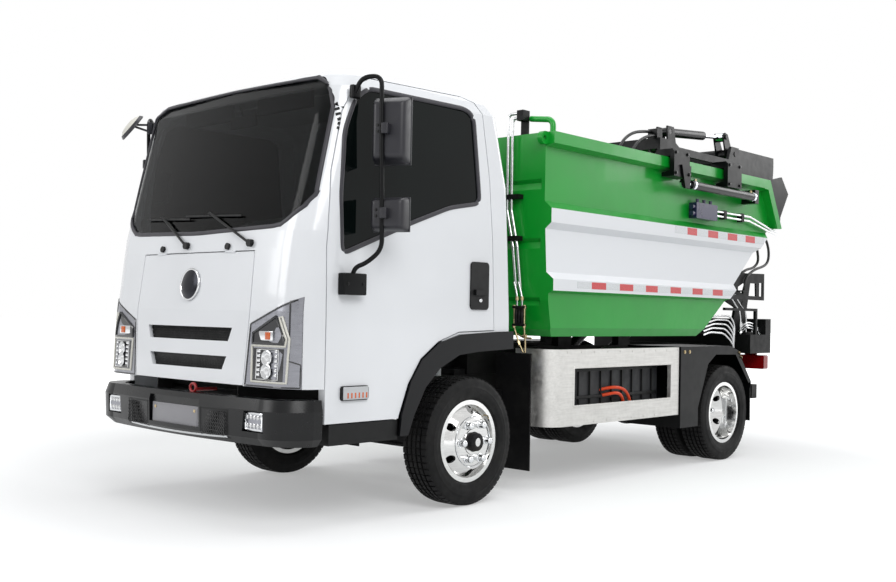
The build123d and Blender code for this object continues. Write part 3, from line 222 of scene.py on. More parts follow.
def woven(name, colour, thread):
    # woven seat cloth: bands of thread crossing 19 mm apart, far wider than real threads so that they show
    material, tree, place = startMaterial(name, **{"IOR": 1.45, "Sheen Weight": 0.35, "Roughness": 0.85})
    # a wave texture repeats every 2 pi / 20 / Scale
    warp, weft = [addNode(tree, "ShaderNodeTexWave", {"Vector": place, "Scale": 1 / 0.06, "Distortion": 0.6}, "Fac",
                          bands_direction=way) for way in "XZ"]
    cross = addNode(tree, "ShaderNodeMath", {0: warp, 1: weft}, 0, operation="MULTIPLY")
    base = addNode(tree, "ShaderNodeMix", {0: cross, 6: linear(colour), 7: linear(thread)}, 2, data_type="RGBA")
    normal = addNode(tree, "ShaderNodeBump", {"Height": cross, "Strength": 0.5, "Distance": 0.0008}, 0)
    return finishMaterial(material, {"Base Color": base, "Normal": normal})


whiteBand = {"colour": "#e9ebee", "beyond": 0.884, "low": 1.2785, "high": 1.8035, "front": -0.6285}
materials = {
    "cabPaint": paint("cabGlossWhitePaint", "#e9ebee", "#e3e5e8", 0.2, coat=0.6, dust=0.06),
    "hopperPaint": paint("hopperGlossGreenPaint", "#079a2c", "#058d27", 0.34, coat=0.12, peel=0.02, level=0.35,
                         band=whiteBand),
    "blackPaint": paint("blackSatinPaint", "#040506", "#07080a", 0.34, dust=0.02, level=0.15),
    "framePaint": paint("chassisBlackPaint", "#050606", "#09090a", 0.5, dust=0.08, level=0.2),
    "cylinderPaint": paint("cylinderGlossBlackEnamel", "#060708", "#090a0c", 0.3, coat=0.06, level=0.25),
    "valvePaint": paint("valveNavyEnamel", "#17163a", "#1d1c46", 0.3, coat=0.3),
    "guardMetal": metal("brushedAluminiumGuard", "#cfcecb", 0.46, 0.3, 0.015, grime=0.02, grain=(30.0, 2.0, 30.0)),
    "rimMetal": metal("polishedForgedAluminium", "#dcdcdb", 0.13, 0.1, 0.03, grime=0.02),
    "rodMetal": metal("hardChromeRod", "#dfe2e6", 0.07, 0.0, 0.02),
    "castMetal": metal("castIronPainted", "#2b2b2c", 0.6, 0.0, 0.25, grime=0.4),
    "springMetal": metal("springSteelOiled", "#353537", 0.45, 0.0, 0.25, grime=0.4),
    "zincMetal": metal("yellowZincPlatedSteel", "#b6a582", 0.3, 0.0, 0.08),
    "pipeMetal": metal("stainlessTube", "#d2d3d4", 0.2, 0.0, 0.03),
    "darkChrome": metal("smokedChromeTrim", "#2b2c30", 0.2, 0.0, 0.02),
    "chrome": metal("chromePlatedTrim", "#e2e4e6", 0.08, 0.0, 0.02),
    "plastic": moulded("blackMouldedPolypropylene", "#08090a", 0.5, level=0.25, worn="#323232"),
    "bumperPlastic": moulded("bumperSatinBlackABS", "#060709", 0.3, 340.0, 0.06, level=0.28, worn="#2a2a2a"),
    "flarePlastic": moulded("archGreyBlackPolypropylene", "#090a0d", 0.34, 300.0, 0.04, level=0.22, worn="#303032"),
    "mirrorShell": moulded("mirrorDarkGreyABS", "#1d1d23", 0.4, 320.0, 0.05, level=0.4),
    "sealRubber": moulded("windowGreyEPDMRubber", "#39383d", 0.45, 400.0, 0.05, level=0.3),
    "greyPlastic": moulded("interiorGreyPolypropylene", "#242528", 0.6),
    "whitePlastic": moulded("cableTieWhiteNylon", "#d5d6d6", 0.45, 400.0, 0.05),
    "bluePlastic": moulded("airValveBlueCap", "#1c2fa0", 0.4, 400.0, 0.05),
    "orangeSleeve": moulded("highVoltageOrangeSleeve", "#e2440e", 0.45, 420.0, 0.2, worn="#7a2c12"),
    "redPaint": paint("towEyeRedEnamel", "#9c1216", "#870f13", 0.35),
    "tyre": moulded("tyreBlackRubber", "#09090a", 0.66, 420.0, 0.1, 0.03, level=0.22),
    "hoseRubber": moulded("hydraulicHoseRubber", "#0c0c0d", 0.45, 420.0, 0.2, level=0.4),
    "sheetRubber": moulded("blackSheetRubber", "#050506", 0.6, 300.0, 0.1, 0.01, level=0.15),
    "windscreenGlass": glazing("windscreenTintedGlass", "#787a7b", "#727575", 0.0, clear=1.0, level=0.25, bend=1.18),
    # door glass made opaque and near-black: its real green tint plus painted shade that stands in for the dark cab seen
    # through it
    "sideGlass": glazing("doorTintedGlassWithPaintedCabShade", "#050909", "#0b1211", 0.03, level=0.2),
    "smokedLens": glazing("lampSmokedLens", "#16171a", "#24262a", 0.04, level=0.8),
    "mirrorGlass": metal("silveredMirrorGlass", "#c9ccce", 0.04, 0.0, 0.0),
    "lampReflector": metal("aluminisedLampReflector", "#c9cacb", 0.1, 0.0, 0.3),
    "clearLens": glazing("clearPolycarbonateLens", "#c4c6c8", "#b9bbbd", 0.05, level=0.8),
    "amberLens": glazing("amberLampLens", "#d9610f", "#c8560d", 0.06, level=0.6),
    "redLens": glazing("redLampLens", "#9b0d12", "#820a0f", 0.06, level=0.6),
    "lampTrim": moulded("lampBezelPaleGreyPlastic", "#d8d6cc", 0.3, 400.0, 0.03, level=0.6),
    "lampBand": metal("lampSurroundSilverLacquer", "#8b8c92", 0.28, 0.0, 0.02),
    "redFilm": reflective("redReflectiveFilm", "#c0141c"),
    "whiteFilm": reflective("silverReflectiveFilm", "#cfd2d4"),
    "plateEnamel": paint("plateGreyEnamel", "#8d8c90", "#87868a", 0.4),
    "seamThread": moulded("seatSeamBlackPolyester", "#08080a", 0.8, 500.0, 0.2),
    "fabric": woven("seatWovenPolyester", "#1b1c20", "#34363c"),
}
nodeFinish = {
    "cabPaint": ["cab_shell", "door_left", "door_right", "front_flap"],
    "hopperPaint": ["hopper_shell"],
    "blackPaint": ["packer_carriage", "shovel", "rear_deflectors", "rear_fenders", "hydraulic_pack"],
    "cylinderPaint": ["side_cylinders", "shovel_cylinders", "lift_cylinders"],
    "framePaint": ["chassis_rails", "crossmembers", "hopper_rests", "rear_frame", "hopper_hinges", "pipe_brackets"],
    "valvePaint": ["valve_block"],
    "bumperPlastic": ["bumper"],
    "flarePlastic": ["wheel_arch_flares"],
    "guardMetal": ["side_guards"],
    "rimMetal": ["front_rim_left", "front_rim_right", "rear_rims_left", "rear_rims_right"],
    "rodMetal": ["packer_rods", "shovel_rods", "lift_rods"],
    "castMetal": ["front_axle", "rear_axle", "knuckle_left", "knuckle_right"],
    "springMetal": ["leaf_springs"],
    "pipeMetal": ["steel_pipes"],
    "plastic": ["flap_grille", "door_fittings_left", "door_fittings_right", "steering_wheel", "wipers", "cab_steps"],
    "mirrorShell": ["mirror_left", "mirror_right", "front_mirror"],
    "greyPlastic": ["battery_packs", "dashboard"],
    "tyre": ["front_tyre_left", "front_tyre_right", "rear_tyres_left", "rear_tyres_right"],
    "sheetRubber": ["front_mudflaps"],
    "hoseRubber": ["rear_hoses", "carriage_hoses"],
    "windscreenGlass": ["cab_glass"],
    "sideGlass": ["door_glass_left", "door_glass_right"],
    "lampBand": ["front_lamps"],
    "redLens": ["rear_lamps"],
    "fabric": ["seats"],
}
for finish, names in nodeFinish.items():
    for name in names:
        mesh = nodes[name].data
        mesh.materials.clear()
        mesh.materials.append(materials[finish])
print("stage: materials assigned")


# ---- mesh helpers
def addBlock(bm, low, high, bevel=0.0, steps=2):
    corners = [(x, y, z) for x in (low[0], high[0]) for y in (low[1], high[1]) for z in (low[2], high[2])]
    verts = [bm.verts.new(corner) for corner in corners]
    quads = ((0, 1, 3, 2), (4, 6, 7, 5), (0, 4, 5, 1), (2, 3, 7, 6), (0, 2, 6, 4), (1, 5, 7, 3))
    faces = [bm.faces.new([verts[i] for i in quad]) for quad in quads]
    if bevel:
        edges = list({edge for face in faces for edge in face.edges})
        bmesh.ops.bevel(bm, geom=edges, offset=bevel, segments=steps, profile=0.6, affect="EDGES", clamp_overlap=True)


def turnFrame(axis):
    axis = axis.normalized()
    side = axis.orthogonal().normalized()
    return axis, side, axis.cross(side)


def circle(side, other, radius, count):
    # points round a circle, seen from its centre
    turns = [2 * math.pi * k / count for k in range(count)]
    return [(side * math.cos(t) + other * math.sin(t)) * radius for t in turns]


def addLathe(bm, profile, centre, axis, count=24):
    # profile of (radius, distance along the axis), closed by a point at each end whose radius is 0
    axis, side, other = turnFrame(axis)
    rings = []
    for radius, along in profile:
        middlePoint = centre + axis * along
        offsets = circle(side, other, radius, count) if radius > 0 else [Vector()]
        rings.append([bm.verts.new(middlePoint + offset) for offset in offsets])
    for ring, following in zip(rings, rings[1:]):
        for k in range(count):
            loop = [ring[k % len(ring)], ring[(k + 1) % len(ring)],
                    following[(k + 1) % len(following)], following[k % len(following)]]
            unique = list(dict.fromkeys(loop))
            if len(unique) > 2:
                bm.faces.new(unique)


def roundedRoute(points, radius, steps=6, closed=False):
    # straight runs whose corners are eased by a quadratic bend
    count = len(points)
    route = []
    for i, corner in enumerate(points):
        if not closed and i in (0, count - 1):
            route.append(corner)
            continue
        before, after = points[i - 1] - corner, points[(i + 1) % count] - corner
        start = corner + before.normalized() * min(radius, before.length * 0.49)
        end = corner + after.normalized() * min(radius, after.length * 0.49)
        for k in range(steps + 1):
            t = k / steps
            route.append(start * (1 - t) ** 2 + corner * 2 * t * (1 - t) + end * t * t)
    return route


def resample(route, step, closed=False):
    runs = list(zip(route, route[1:] + route[:1])) if closed else list(zip(route, route[1:]))
    points = []
    for start, end in runs:
        pieces = max(1, math.ceil((end - start).length / step))
        points += [start.lerp(end, k / pieces) for k in range(pieces)]
    return points if closed else points + [route[-1]]


def heading(route, i, closed):
    # the way that a route runs at one of its points
    ahead = route[(i + 1) % len(route)] if closed or i < len(route) - 1 else route[i]
    behind = route[i - 1] if closed or i else route[i]
    return (ahead - behind).normalized()


def joinRings(bm, rings, closed):
    # faces between neighbouring rings, with a flat end on each side of an open run
    size = len(rings[0])
    for ring, following in zip(rings, rings[1:] + rings[:1] if closed else rings[1:]):
        for k in range(size):
            bm.faces.new((ring[k], ring[(k + 1) % size], following[(k + 1) % size], following[k]))
    if not closed:
        bm.faces.new(rings[0][::-1])
        bm.faces.new(rings[-1])


def addTube(bm, route, radius, count=12, closed=False):
    # a round section carried along a route without twist
    route = [point for i, point in enumerate(route) if i == 0 or (point - route[i - 1]).length > 1e-5]
    side = turnFrame(route[1] - route[0])[1]
    rings = []
    for i, point in enumerate(route):
        way = heading(route, i, closed)
        side = (side - way * side.dot(way)).normalized()
        rings.append([bm.verts.new(point + offset) for offset in circle(side, way.cross(side), radius, count)])
    joinRings(bm, rings, closed)


def addStrip(bm, route, normals, section, closed=False):
    # a section of (sideways, outward) points carried along a route that lies on a surface
    rings = []
    for i, (point, normal) in enumerate(zip(route, normals)):
        side = heading(route, i, closed).cross(normal).normalized()
        rings.append([bm.verts.new(point + side * s + normal * out) for s, out in section])
    joinRings(bm, rings, closed)


def placePiece(name, mesh, material, body, angle=35):
    mesh.materials.clear()
    mesh.materials.append(materials[material])
    mesh.shade_smooth()
    mesh.set_sharp_from_angle(angle=math.radians(angle))
    piece = bpy.data.objects.new(name, mesh)
    bpy.context.scene.collection.objects.link(piece)
    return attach(piece, body)


def finishPiece(bm, name, material, body, angle=35):
    bmesh.ops.remove_doubles(bm, verts=bm.verts, dist=1e-6)
    bmesh.ops.recalc_face_normals(bm, faces=bm.faces)
    mesh = bpy.data.meshes.new(name)
    bm.to_mesh(mesh)
    bm.free()
    return placePiece(name, mesh, material, body, angle)


def skin(*names):
    # the faces of some CAD nodes, to lay trim on
    points, faces = [], []
    for name in names:
        start = len(points)
        points += [vertex.co.copy() for vertex in nodes[name].data.vertices]
        faces += [[start + i for i in face.vertices] for face in nodes[name].data.polygons]
    return BVHTree.FromPolygons(points, faces)


def lay(tree, start, way, depth=0.45):
    # where a line from start meets the skin, and the way out of it; past an edge, the nearest point of the skin
    place, normal = tree.ray_cast(start, way)[:2]
    if place is None or (place - start).length > depth:
        place, normal = tree.find_nearest(start + way * (depth * 0.72))[:2]
    return place, -normal if normal.dot(way) > 0 else normal


sides = {"left": 1, "right": -1}


# ---- nuts, bolts and rivets: one tree sets a head at each point, turned to face out
def startTree(name, source, result, sockets):
    # a tree with one geometry in, named values with their defaults, a material and one geometry out
    tree = bpy.data.node_groups.new(name, "GeometryNodeTree")
    tree.interface.new_socket(source, in_out="INPUT", socket_type="NodeSocketGeometry")
    for label, kind, value in sockets:
        tree.interface.new_socket(label, in_out="INPUT", socket_type="NodeSocket" + kind).default_value = value
    tree.interface.new_socket("Finish", in_out="INPUT", socket_type="NodeSocketMaterial")
    tree.interface.new_socket(result, in_out="OUTPUT", socket_type="NodeSocketGeometry")
    return tree, addNode(tree, "NodeGroupInput").outputs


def endTree(tree, geometry, given):
    real = addNode(tree, "GeometryNodeRealizeInstances", {"Geometry": geometry}, 0)
    finish = addNode(tree, "GeometryNodeSetMaterial", {"Geometry": real, "Material": given["Finish"]}, 0)
    addNode(tree, "NodeGroupOutput", {0: finish})
    return tree


def boltTree():
    tree, given = startTree("boltHeads", "Places", "Heads", (
        ("Head radius", "Float", 0.009), ("Head height", "Float", 0.007), ("Sides", "Int", 6),
        ("Washer radius", "Float", 0.013)))
    head = addNode(tree, "GeometryNodeMeshCylinder", {"Vertices": given["Sides"], "Radius": given["Head radius"],
                                                      "Depth": given["Head height"]}, "Mesh")
    half = addNode(tree, "ShaderNodeMath", {0: given["Head height"], 1: 0.5}, 0, operation="MULTIPLY")
    lift = addNode(tree, "ShaderNodeCombineXYZ", {"Z": half}, 0)
    raised = addNode(tree, "GeometryNodeTransform", {"Geometry": head, "Translation": lift}, 0)
    washer = addNode(tree, "GeometryNodeMeshCylinder", {"Radius": given["Washer radius"], "Vertices": 16,
                                                        "Depth": 0.004}, "Mesh")
    both = addNode(tree, "GeometryNodeJoinGeometry", {0: raised})
    tree.links.new(washer, both.inputs[0])
    facing = addNode(tree, "GeometryNodeInputNamedAttribute", {"Name": "facing"}, "Attribute", data_type="FLOAT_VECTOR")
    turn = addNode(tree, "FunctionNodeAlignRotationToVector", {"Vector": facing}, 0, axis="Z")
    heads = addNode(tree, "GeometryNodeInstanceOnPoints", {"Points": given["Places"], "Instance": both.outputs[0],
                                                           "Rotation": turn}, 0)
    return endTree(tree, heads, given)


def grown(tree, mesh, material, **values):
    # run a tree on a mesh with its named inputs set, and keep the result as a plain mesh
    holder = bpy.data.objects.new("holder", mesh)
    bpy.context.scene.collection.objects.link(holder)
    modifier = holder.modifiers.new("tree", "NODES")
    modifier.node_group = tree
    wanted = {**values, "Finish": materials[material]}
    for item in tree.interface.items_tree:
        if item.in_out == "INPUT" and item.name in wanted:
            modifier[item.identifier] = wanted[item.name]
    bpy.context.view_layer.update()
    result = bpy.data.meshes.new_from_object(holder.evaluated_get(bpy.context.evaluated_depsgraph_get()))
    bpy.data.objects.remove(holder)
    return result


bolting = boltTree()


def boltHeads(name, places, body, material="zincMetal", radius=0.009, height=0.007, count=6, washer=0.013):
    # places are pairs of a point on the surface and the way that the head faces
    mesh = bpy.data.meshes.new(name)
    mesh.from_pydata([point for point, _ in places], [], [])
    facing = mesh.attributes.new("facing", "FLOAT_VECTOR", "POINT")
    facing.data.foreach_set("vector", [value for _, way in places for value in way])
    values = {"Head radius": radius, "Head height": height, "Sides": count, "Washer radius": washer}
    return placePiece(name, grown(bolting, mesh, material, **values), material, body)


# ---- window seals: grey rubber profile 25 mm wide round the windscreen and the door glasses
sealSection = ((-0.013, -0.001), (-0.011, 0.004), (-0.003, 0.006), (0.007, 0.005), (0.012, 0.0), (0.012, -0.007),
               (-0.010, -0.007))
screenOutline = [(0, 1.543), (0.700, 1.562), (0.868, 1.690), (0.864, 2.235), (0.775, 2.358), (0, 2.372)]
screenOutline += [(-x, z) for x, z in screenOutline[-2:0:-1]]
doorOutline = [(-1.026, 1.425), (-1.042, 1.720), (-1.015, 2.055), (-0.950, 2.230), (-0.865, 2.295), (-0.100, 2.306),
               (-0.030, 2.270), (0.028, 1.776), (-0.224, 1.730), (-0.531, 1.620)]


def outset(outline, amount):
    # the outline moved out from its middle, run by run
    count = len(outline)
    area = sum(a[0] * b[1] - b[0] * a[1] for a, b in zip(outline, outline[1:] + outline[:1]))
    turn = 1 if area > 0 else -1
    moved = []
    for i, point in enumerate(outline):
        before, after = Vector(point) - Vector(outline[i - 1]), Vector(outline[(i + 1) % count]) - Vector(point)
        out = Vector((before.y, -before.x)).normalized() + Vector((after.y, -after.x)).normalized()
        moved.append(Vector(point) + out * (amount * turn / max(out.length_squared / 2, 0.5)))
    return moved


def seal(name, outline, place, tree, way, radius, body):
    route = resample(roundedRoute([Vector((a, b, 0)) for a, b in outset(outline, 0.006)], radius, 6, True), 0.03, True)
    hits = [lay(tree, place(point.x, point.y), way) for point in route]
    points, normals = zip(*hits)
    count = len(normals)
    smooth = [(normals[i - 1] + normals[i] + normals[(i + 1) % count]).normalized() for i in range(count)]
    bm = bmesh.new()
    addStrip(bm, points, smooth, sealSection, True)
    return finishPiece(bm, name, "sealRubber", body, 50)


cabSkin = skin("cab_shell", "front_flap")
seal("windscreenSeal", screenOutline, lambda x, z: at(x, -1.6, z), cabSkin, rearward, 0.072, "chassis")
for side, sign in sides.items():
    doorSkin = skin("door_" + side, "door_glass_" + side)
    seal("doorSeal_" + side, doorOutline, lambda y, z: at(sign * 1.3, y, z), doorSkin, -across * sign, 0.05,
         "door_" + side)
print("stage: window seals laid")

# ---- badge: a bare domed disc in a plated ring
badge = {"x": 0.0, "z": 1.253, "radius": 0.092, "ring": 0.013, "dome": 0.016}


def badgeDisc():
    centre, out = lay(skin("front_flap"), at(badge["x"], -1.7, badge["z"]), rearward)
    radius, ring, dome = badge["radius"], badge["ring"], badge["dome"]
    bm = bmesh.new()
    face = [(0, dome), (radius * 0.35, dome * 0.95), (radius * 0.7, dome * 0.78), (radius - ring, dome * 0.5)]
    addLathe(bm, face + [(radius - ring, -0.004), (0, -0.004)], centre, out, 48)
    finishPiece(bm, "badgeDome", "darkChrome", "front_flap", 50)
    bm = bmesh.new()
    turns = [(radius - ring / 2 + ring / 2 * math.cos(t), dome * 0.35 + ring * 0.6 * math.sin(t))
             for t in [2 * math.pi * k / 10 for k in range(11)]]
    addLathe(bm, turns, centre, out, 48)
    finishPiece(bm, "badgeRing", "lampReflector", "front_flap", 60)


badgeDisc()


# ---- hexagonal mesh behind the grille slots and in the bumper, bent to the bow of the cab
def hexMeshTree():
    tree, given = startTree("hexMesh", "Sheet", "Net", (
        ("Width", "Float", 0.8), ("Height", "Float", 0.08), ("Cell", "Float", 0.014), ("Wire", "Float", 0.0015),
        ("Bow", "Float", 0.05)))
    counts = []
    for key in ("Width", "Height"):
        whole = addNode(tree, "ShaderNodeMath", {0: given[key], 1: given["Cell"]}, 0, operation="DIVIDE")
        counts.append(addNode(tree, "ShaderNodeMath", {0: whole, 1: 2.0}, 0, operation="ADD"))
    grid = addNode(tree, "GeometryNodeMeshGrid", {"Size X": given["Width"], "Size Y": given["Height"],
                                                  "Vertices X": counts[0], "Vertices Y": counts[1]}, "Mesh")
    triangles = addNode(tree, "GeometryNodeTriangulate", {"Mesh": grid}, 0)
    cells = addNode(tree, "GeometryNodeDualMesh", {"Mesh": triangles}, 0)
    position = addNode(tree, "GeometryNodeInputPosition", out=0)
    fromMiddle = addNode(tree, "ShaderNodeSeparateXYZ", {"Vector": position}, "X")
    square = addNode(tree, "ShaderNodeMath", {0: fromMiddle, 1: fromMiddle}, 0, operation="MULTIPLY")
    dip = addNode(tree, "ShaderNodeMath", {0: square, 1: given["Bow"]}, 0, operation="MULTIPLY")
    bent = addNode(tree, "ShaderNodeCombineXYZ", {"Z": dip}, 0)
    bow = addNode(tree, "GeometryNodeSetPosition", {"Geometry": cells, "Offset": bent}, 0)
    lines = addNode(tree, "GeometryNodeMeshToCurve", {"Mesh": bow}, 0)
    section = addNode(tree, "GeometryNodeCurvePrimitiveCircle", {"Radius": given["Wire"], "Resolution": 5}, 0)
    wires = addNode(tree, "GeometryNodeCurveToMesh", {"Curve": lines, "Profile Curve": section}, 0)
    return endTree(tree, wires, given)


hexMesh = hexMeshTree()


def netPanel(name, width, height, centre, lean, bow, body, cell=0.015, material="plastic"):
    # the net is made flat, stood up, leaned back and moved to its place
    blank = bpy.data.meshes.new(name)
    blank.from_pydata([(0, 0, 0)], [], [])
    net = grown(hexMesh, blank, material, Width=width, Height=height, Cell=cell, Wire=cell * 0.13, Bow=bow)
    turn = Matrix(((1, 0, 0), (0, math.sin(lean), 1), (0, math.cos(lean), 0))).to_4x4()
    net.transform(Matrix.Translation(centre) @ turn)
    return placePiece(name, net, material, body)


# lower edge, upper edge and greatest half width of each slot in the flap
slots = ((0.951, 1.023, 0.405), (0.800, 0.871, 0.369))
for count, (low, high, wide) in enumerate(slots):
    centre = at(0, -1.318 - 0.002 * count, (low + high) / 2)
    netPanel(f"grilleNet_{count}", 2 * wide, high - low + 0.02, centre, 0.1, 0.052, "front_flap")
print("stage: badge and grille made")


# ---- headlamps, laid on the lens: x and height of each form, seen from the front on the driver's side
lamp = {
    "outline": [(0.532, 0.730), (0.556, 1.046), (0.876, 1.180), (0.882, 0.730)],
    "housing": [(0.580, 0.948), (0.580, 1.000), (0.748, 1.088), (0.778, 1.040), (0.806, 0.975), (0.806, 0.948)],
    "cell": [(0.592, 0.758), (0.588, 0.924), (0.806, 0.924), (0.806, 0.758)],
    "frame": [(0.585, 0.752), (0.577, 0.936), (0.812, 0.936), (0.818, 0.972), (0.772, 1.082), (0.790, 1.086),
              (0.832, 0.975), (0.826, 0.752)],
    "projector": (0.698, 0.842, 0.080, 0.076),
    "indicator": (0.680, 0.988, 0.058, 0.024),
    "bowl": [(0, 0.002), (0.036, 0.002), (0.040, 0.010), (0.034, 0.012), (0.024, 0.005), (0.012, 0.004), (0, 0.007)],
    "bowlLift": 0.034,
    # column offset and half width of the small reflector blocks, and their lowest offset, pitch and count
    "columns": ((-0.062, 0.013), (0.066, 0.010)), "foot": -0.062, "pitch": 0.024, "blocks": 6,
}
lampSkin = skin("front_lamps", "cab_shell")


def onLamp(sign, x, z, out=0.0):
    place, normal = lay(lampSkin, at(sign * x, -1.7, z), rearward)
    return place + normal * out, normal


def lampFace(bm, sign, outline, out, thick):
    # a plate that follows the lens
    points = [onLamp(sign, x, z, out) for x, z in outline]
    near = [bm.verts.new(point) for point, _ in points]
    far = [bm.verts.new(point - normal * thick) for point, normal in points]
    count = len(outline)
    bm.faces.new(near)
    bm.faces.new(far[::-1])
    for i in range(count):
        bm.faces.new((near[i], near[(i + 1) % count], far[(i + 1) % count], far[i]))


def resampleFlat(outline, step):
    return [(point.x, point.y) for point in resample([Vector((a, b, 0)) for a, b in outline], step, True)]


def lampBar(bm, sign, outline, width, height):
    hits = [onLamp(sign, x, z) for x, z in resampleFlat(outline, 0.02)]
    half, shoulder = width / 2, height * 0.6
    section = ((-half, -0.001), (-half, shoulder), (0, height), (half, shoulder), (half, -0.001))
    addStrip(bm, *zip(*hits), section, True)


def headlamp(side, sign):
    bm = bmesh.new()
    lampBar(bm, sign, lamp["outline"], 0.008, 0.004)
    for part in ("housing", "cell"):
        lampFace(bm, sign, resampleFlat(lamp[part], 0.03), 0.0016, 0.003)
    lampBar(bm, sign, lamp["housing"], 0.012, 0.010)
    finishPiece(bm, "lampHousing_" + side, "smokedLens", "chassis", 40)
    bm = bmesh.new()
    lampBar(bm, sign, lamp["frame"], 0.011, 0.009)
    finishPiece(bm, "lampLightGuide_" + side, "lampTrim", "chassis", 40)
    x, z, half, tall = lamp["projector"]
    bm = bmesh.new()
    for lift in (lamp["bowlLift"], -lamp["bowlLift"]):
        addLathe(bm, lamp["bowl"], *onLamp(sign, x, z + lift), 10)
    for row in range(lamp["blocks"]):
        for column, wide in lamp["columns"]:
            centre = onLamp(sign, x + column, z + lamp["foot"] + row * lamp["pitch"])[0]
            addBlock(bm, centre + Vector((-wide, -0.006, 0.002)), centre + Vector((wide, 0.002, 0.018)), 0.003, 2)
    square = [(x - half, z - tall), (x - half, z + tall), (x + half, z + tall), (x + half, z - tall)]
    lampBar(bm, sign, square, 0.006, 0.006)
    ix, iz, wide, high = lamp["indicator"]
    centre = onLamp(sign, ix, iz)[0]
    addBlock(bm, centre - Vector((wide, 0.005, high)), centre + Vector((wide, 0.004, high)), 0.003)
    finishPiece(bm, "lampBowl_" + side, "lampReflector", "chassis", 30)
    bm = bmesh.new()
    amber = 0.018
    addBlock(bm, centre + Vector((sign * amber - amber, -0.010, -high * 0.8)),
             centre + Vector((sign * amber + amber, -0.002, high * 0.8)), 0.003)
    finishPiece(bm, "lampIndicator_" + side, "amberLens", "chassis", 30)


for side, sign in sides.items():
    headlamp(side, sign)

# ---- fog lamps: a ribbed bowl behind a clear cover, in a thin bezel
fog = {"x": (0.592, 0.738), "z": (0.506, 0.599), "ribs": 5, "rim": 0.006, "lift": 0.022}


def fogLamp(side, sign):
    tree = skin("front_lamps")
    (left, right), (low, high) = fog["x"], fog["z"]
    rim, width, middleZ = fog["rim"], (right - left) / fog["ribs"], (low + high) / 2
    corners = [(left + rim, low + rim), (right - rim, low + rim), (right - rim, high - rim), (left + rim, high - rim)]
    hits = [lay(tree, at(sign * x, -1.8, z), rearward) for x, z in resampleFlat(corners, 0.02)]
    bm = bmesh.new()
    section = ((-0.005, -0.002), (-0.005, 0.004), (0.0, 0.006), (0.005, 0.004), (0.005, -0.002))
    addStrip(bm, *zip(*hits), section, True)
    finishPiece(bm, "fogBezel_" + side, "chrome", "chassis", 40)
    bm = bmesh.new()
    bowl = [(0, -0.006), (width * 0.56, -0.006), (width * 0.5, 0.001), (width * 0.25, 0.004), (0, 0.005)]
    for rib in range(fog["ribs"]):
        base, out = lay(tree, at(sign * (left + width * (rib + 0.5)), -1.8, middleZ), rearward)
        for lift in (fog["lift"], -fog["lift"]):
            addLathe(bm, bowl, base + Vector((0, 0, lift)), out, 6)
    finishPiece(bm, "fogBowl_" + side, "lampReflector", "chassis", 20)


for side, sign in sides.items():
    fogLamp(side, sign)
print("stage: lamps made")


# ---- tyres: a carcass with grooves, and one pitch of tread blocks set round it
tyre = {"radius": 0.376, "groove": 0.009, "bead": 0.236, "half": 0.1025, "tread": 0.083, "pitches": 60}
wheels = {"front": (0.825, 0, 0.376), "outer": (0.825, 3.050, 0.376), "inner": (0.590, 3.050, 0.376)}


def ringTree():
    tree, given = startTree("blocksRound", "Pitch", "Ring", (("Copies", "Int", 60),))
    line = addNode(tree, "GeometryNodeMeshLine", {"Count": given["Copies"], "Offset": (0, 0, 0)}, 0)
    step = addNode(tree, "ShaderNodeMath", {0: 2 * math.pi, 1: given["Copies"]}, 0, operation="DIVIDE")
    index = addNode(tree, "GeometryNodeInputIndex", out=0)
    angle = addNode(tree, "ShaderNodeMath", {0: index, 1: step}, 0, operation="MULTIPLY")
    turn = addNode(tree, "ShaderNodeCombineXYZ", {"X": angle}, 0)
    rotation = addNode(tree, "FunctionNodeEulerToRotation", {"Euler": turn}, 0)
    ring = addNode(tree, "GeometryNodeInstanceOnPoints", {"Points": line, "Instance": given["Pitch"],
                                                          "Rotation": rotation}, 0)
    return endTree(tree, ring, given)


ringing = ringTree()


def carcassProfile():
    # (distance across, radius) from one bead to the other, with rings on each sidewall and four grooves
    deep, half, tread = tyre["radius"] - tyre["groove"], tyre["half"], tyre["tread"]
    wall = [(0.075, tyre["bead"]), (0.081, 0.243), (0.089, 0.252), (0.092, 0.2555), (0.0945, 0.254), (0.0985, 0.270),
            (0.1012, 0.285), (0.1022, 0.2875), (half, 0.300), (0.1022, 0.3125), (half, 0.3145), (0.1005, 0.3175),
            (0.0985, 0.334), (0.0958, 0.349), (0.0925, 0.3615), (0.0885, deep - 0.0015)]
    land = [(tread, deep)]
    for centre in (0.052, 0.018):
        land += [(centre + 0.006, deep), (centre + 0.004, deep - 0.004), (centre - 0.004, deep - 0.004),
                 (centre - 0.006, deep)]
    right = wall + land
    return right + [(-x, r) for x, r in right[::-1]]


def treadCorner(bm, x, along, radius, shoulder):
    # the outer edge of a shoulder block drops with the tyre's rounded shoulder
    reach = radius - (0.0045 if shoulder and abs(x) > 0.08 else 0.0)
    angle = along / tyre["radius"]
    return bm.verts.new((x, -math.sin(angle) * reach, math.cos(angle) * reach))


